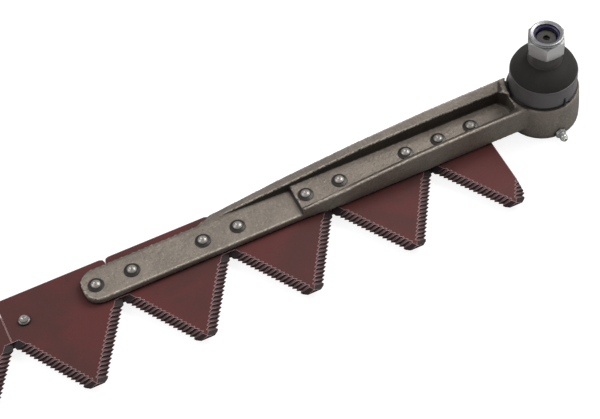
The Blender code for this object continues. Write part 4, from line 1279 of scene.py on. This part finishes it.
@dataclass
class GreaseNipple:
    """Grease nipple in the front of the housing."""

    wall: float = 0.0274
    height: float = 0.0050
    across: float = 0.0070
    hexagon: float = 0.0022
    hexagon_edge: float = 0.0004
    length: float = 0.0078
    neck: float = 0.0021
    neck_foot: Points = ((0.0, 0.0008), (0.0005, 0.0))
    head: float = 0.0029
    head_rise: float = 0.0027
    head_drop: float = 0.0026
    head_turns: tuple[float, ...] = (50.0, 30.0, 10.0, -10.0, -30.0, -48.0)
    thread: float = 0.0026
    depth: float = 0.0050
    bore: float = 0.0008
    bore_depth: float = 0.0012
    soft: float = 0.0003
    past: float = 0.001
    travel: float = 0.0008
    steps: int = 40

    def build(self, shop: Shop) -> None:
        """Model the nipple and dress its ball and spring.

        Args:
            shop: models the pieces.
        """
        corner = self.across / math.sqrt(3.0)
        floor, rim = self.length - self.bore_depth, self.length - self.soft
        body = [(0.0, floor), (self.bore, floor), (self.bore, rim), (self.bore + self.soft, self.length),
                (self.neck - self.soft, self.length)]
        body += arc(self.length - self.head_drop, self.head, self.head_rise, self.head_turns)
        body += offset(self.neck_foot, self.neck, self.hexagon)
        body += [(self.across / 2, self.hexagon), (corner, self.hexagon - self.hexagon_edge),
                 (corner, 0.0), (self.thread, 0.0), (self.thread, -self.depth), (0.0, -self.depth)]
        nipple = shop.turned("visual_grease_nipple", body, self.steps)
        shop.cut(nipple, shop.hexagon("nipple_flats", corner, -self.depth - self.past,
                                      self.length + self.past), "INTERSECT")
        nipple.data.transform(Matrix.Translation((0.0, -self.wall, self.height))
                              @ Matrix.Rotation(math.pi / 2, 4, "X"))
        shop.smooth(nipple, 35.0)
        shop.hand_over(nipple, FITTING, Body.KNIFE, "grease_nipple")
        shop.dress("nipple_ball", FITTING)
        self.spring(shop)

    def spring(self, shop: Shop) -> None:
        """Spring behind the ball, which the ball presses together when grease goes in.

        Args:
            shop: models the pieces.
        """
        coil = shop.from_node("nipple_spring", "visual_nipple_spring")
        shop.hand_over(coil, BRIGHT, Body.KNIFE, "nipple_spring")
        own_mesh(coil)


# ---------------------------------------------------------------- studio


@dataclass(frozen=True)
class Lamp:
    """Square soft light that faces the knife head."""

    name: str
    place: Colour
    size: float
    power: float
    warmth: Colour

    def hang(self, target: Vector) -> None:
        """Hang the lamp.

        Args:
            target: the place that it faces.
        """
        data = bpy.data.lights.new(self.name, "AREA")
        data.shape = "SQUARE"
        data.size = self.size
        data.energy = self.power
        data.color = self.warmth
        lamp = bpy.data.objects.new(self.name, data)
        bpy.context.scene.collection.objects.link(lamp)
        lamp.location = self.place
        lamp.rotation_mode = "QUATERNION"
        lamp.rotation_quaternion = (target - Vector(self.place)).to_track_quat("-Z", "Y")


@dataclass
class Studio:
    """Pale floor, soft lights and the camera of the photograph."""

    azimuth: float = -25.53
    elevation: float = 53.57
    roll: float = -1.78
    distance: float = 1.11166
    focal: float = 1646.12
    across: float = 0.07344
    up: float = 0.02834
    centre_x: float = 389.65
    centre_y: float = 193.18
    width: int = 600
    height: int = 419
    sensor: float = 36.0
    nearest: float = 0.01
    target: Colour = (-0.212, -0.017, 0.0063)
    lamps: tuple[Lamp, ...] = (Lamp("key", (1.1, 0.35, 1.6), 1.2, 32.0, (1.0, 0.99, 0.97)),
                               Lamp("fill", (-1.7, 0.7, 1.4), 1.4, 16.0, (0.98, 0.99, 1.0)),
                               Lamp("side", (1.7, -0.8, 0.6), 0.8, 5.0, (1.0, 1.0, 1.0)))
    lamp_target: Colour = (-0.2, 0.0, 0.0)
    floor_size: float = 12.0
    floor_drop: float = 0.0003
    floor_plain: Colour = (0.5, 0.5, 0.5)
    floor_seen: Colour = (0.3, 0.3, 0.3)
    floor_glow: float = 0.86
    room_low: Colour = (0.16, 0.16, 0.165)
    room_high: Colour = (0.44, 0.44, 0.45)
    white: Colour = (1.0, 1.0, 1.0)

    def camera(self) -> None:
        """Place the camera as the photograph's was."""
        turn, lift, roll = (math.radians(a) for a in (self.azimuth, self.elevation, self.roll))
        back = Vector((math.sin(turn) * math.cos(lift), -math.cos(turn) * math.cos(lift), math.sin(lift)))
        level = Vector((0.0, 0.0, 1.0)).cross(back).normalized()
        upright = back.cross(level)
        right = math.cos(roll) * level + math.sin(roll) * upright
        top = math.cos(roll) * upright - math.sin(roll) * level
        axes = Matrix((right, top, back)).transposed()
        data = bpy.data.cameras.new("camera")
        camera = bpy.data.objects.new("camera", data)
        bpy.context.scene.collection.objects.link(camera)
        place = Vector(self.target) + axes @ Vector((self.across, self.up, self.distance))
        camera.matrix_world = Matrix.Translation(place) @ axes.to_4x4()
        data.sensor_width = self.sensor
        data.lens = self.focal / self.width * data.sensor_width
        data.shift_x = -(self.centre_x - self.width / 2) / self.width
        data.shift_y = (self.centre_y - self.height / 2) / self.width
        data.clip_start = self.nearest
        bpy.context.scene.camera = camera

    def floor(self) -> None:
        """Pale floor that is white to the camera but keeps the shadow."""
        bpy.ops.object.select_all(action="DESELECT")
        bpy.ops.mesh.primitive_plane_add(size=self.floor_size, location=(0.0, 0.0, -self.floor_drop))
        floor = bpy.context.object
        floor.name = "floor"
        made = bpy.data.materials.new("floor_finish")
        made.use_nodes = True
        graph = Graph(made.node_tree)
        made.node_tree.nodes.remove(made.node_tree.nodes["Principled BSDF"])
        plain = graph.node("ShaderNodeBsdfDiffuse", {"Color": rgba(self.floor_plain)})
        shade = graph.node("ShaderNodeBsdfDiffuse", {"Color": rgba(self.floor_seen)})
        glow = graph.node("ShaderNodeEmission", {"Strength": self.floor_glow})
        seen = graph.node("ShaderNodeAddShader", {0: shade.outputs[0], 1: glow.outputs[0]})
        ray = graph.node("ShaderNodeLightPath").outputs["Is Camera Ray"]
        both = graph.node("ShaderNodeMixShader", {0: ray, 1: plain.outputs[0], 2: seen.outputs[0]})
        made.node_tree.links.new(both.outputs[0], made.node_tree.nodes["Material Output"].inputs[0])
        floor.data.materials.append(made)

    def sky(self) -> None:
        """Room that is brighter above, and white to the camera."""
        world = bpy.data.worlds.new("sky")
        bpy.context.scene.world = world
        world.use_nodes = True
        graph = Graph(world.node_tree)
        way = graph.node("ShaderNodeNewGeometry").outputs["Incoming"]
        fall = graph.node("ShaderNodeSeparateXYZ", {0: way}).outputs["Z"]
        height = graph.fade(graph.times(fall, -1.0), 0.0, 0.9)
        room = graph.mix(height, rgba(self.room_low), rgba(self.room_high))
        ray = graph.node("ShaderNodeLightPath").outputs["Is Camera Ray"]
        world.node_tree.links.new(graph.mix(ray, room, rgba(self.white)),
                                  world.node_tree.nodes["Background"].inputs["Color"])

    def build(self) -> None:
        """Set up the floor, the lamps, the sky and the camera."""
        self.floor()
        for lamp in self.lamps:
            lamp.hang(Vector(self.lamp_target))
        self.sky()
        bpy.context.scene.view_settings.view_transform = "Standard"
        self.camera()


# ---------------------------------------------------------------- the whole knife


def main() -> None:
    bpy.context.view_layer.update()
    shop = Shop()
    for assembly in (CuttingSide(), Rivets(), KnifeHead(), Boot(), BallStud(), GreaseNipple()):
        assembly.build(shop)
        log.info("%s done", type(assembly).__name__)
    Studio().build()
    log.info("%d new pieces", shop.count)


if __name__ == "__main__":
    main()
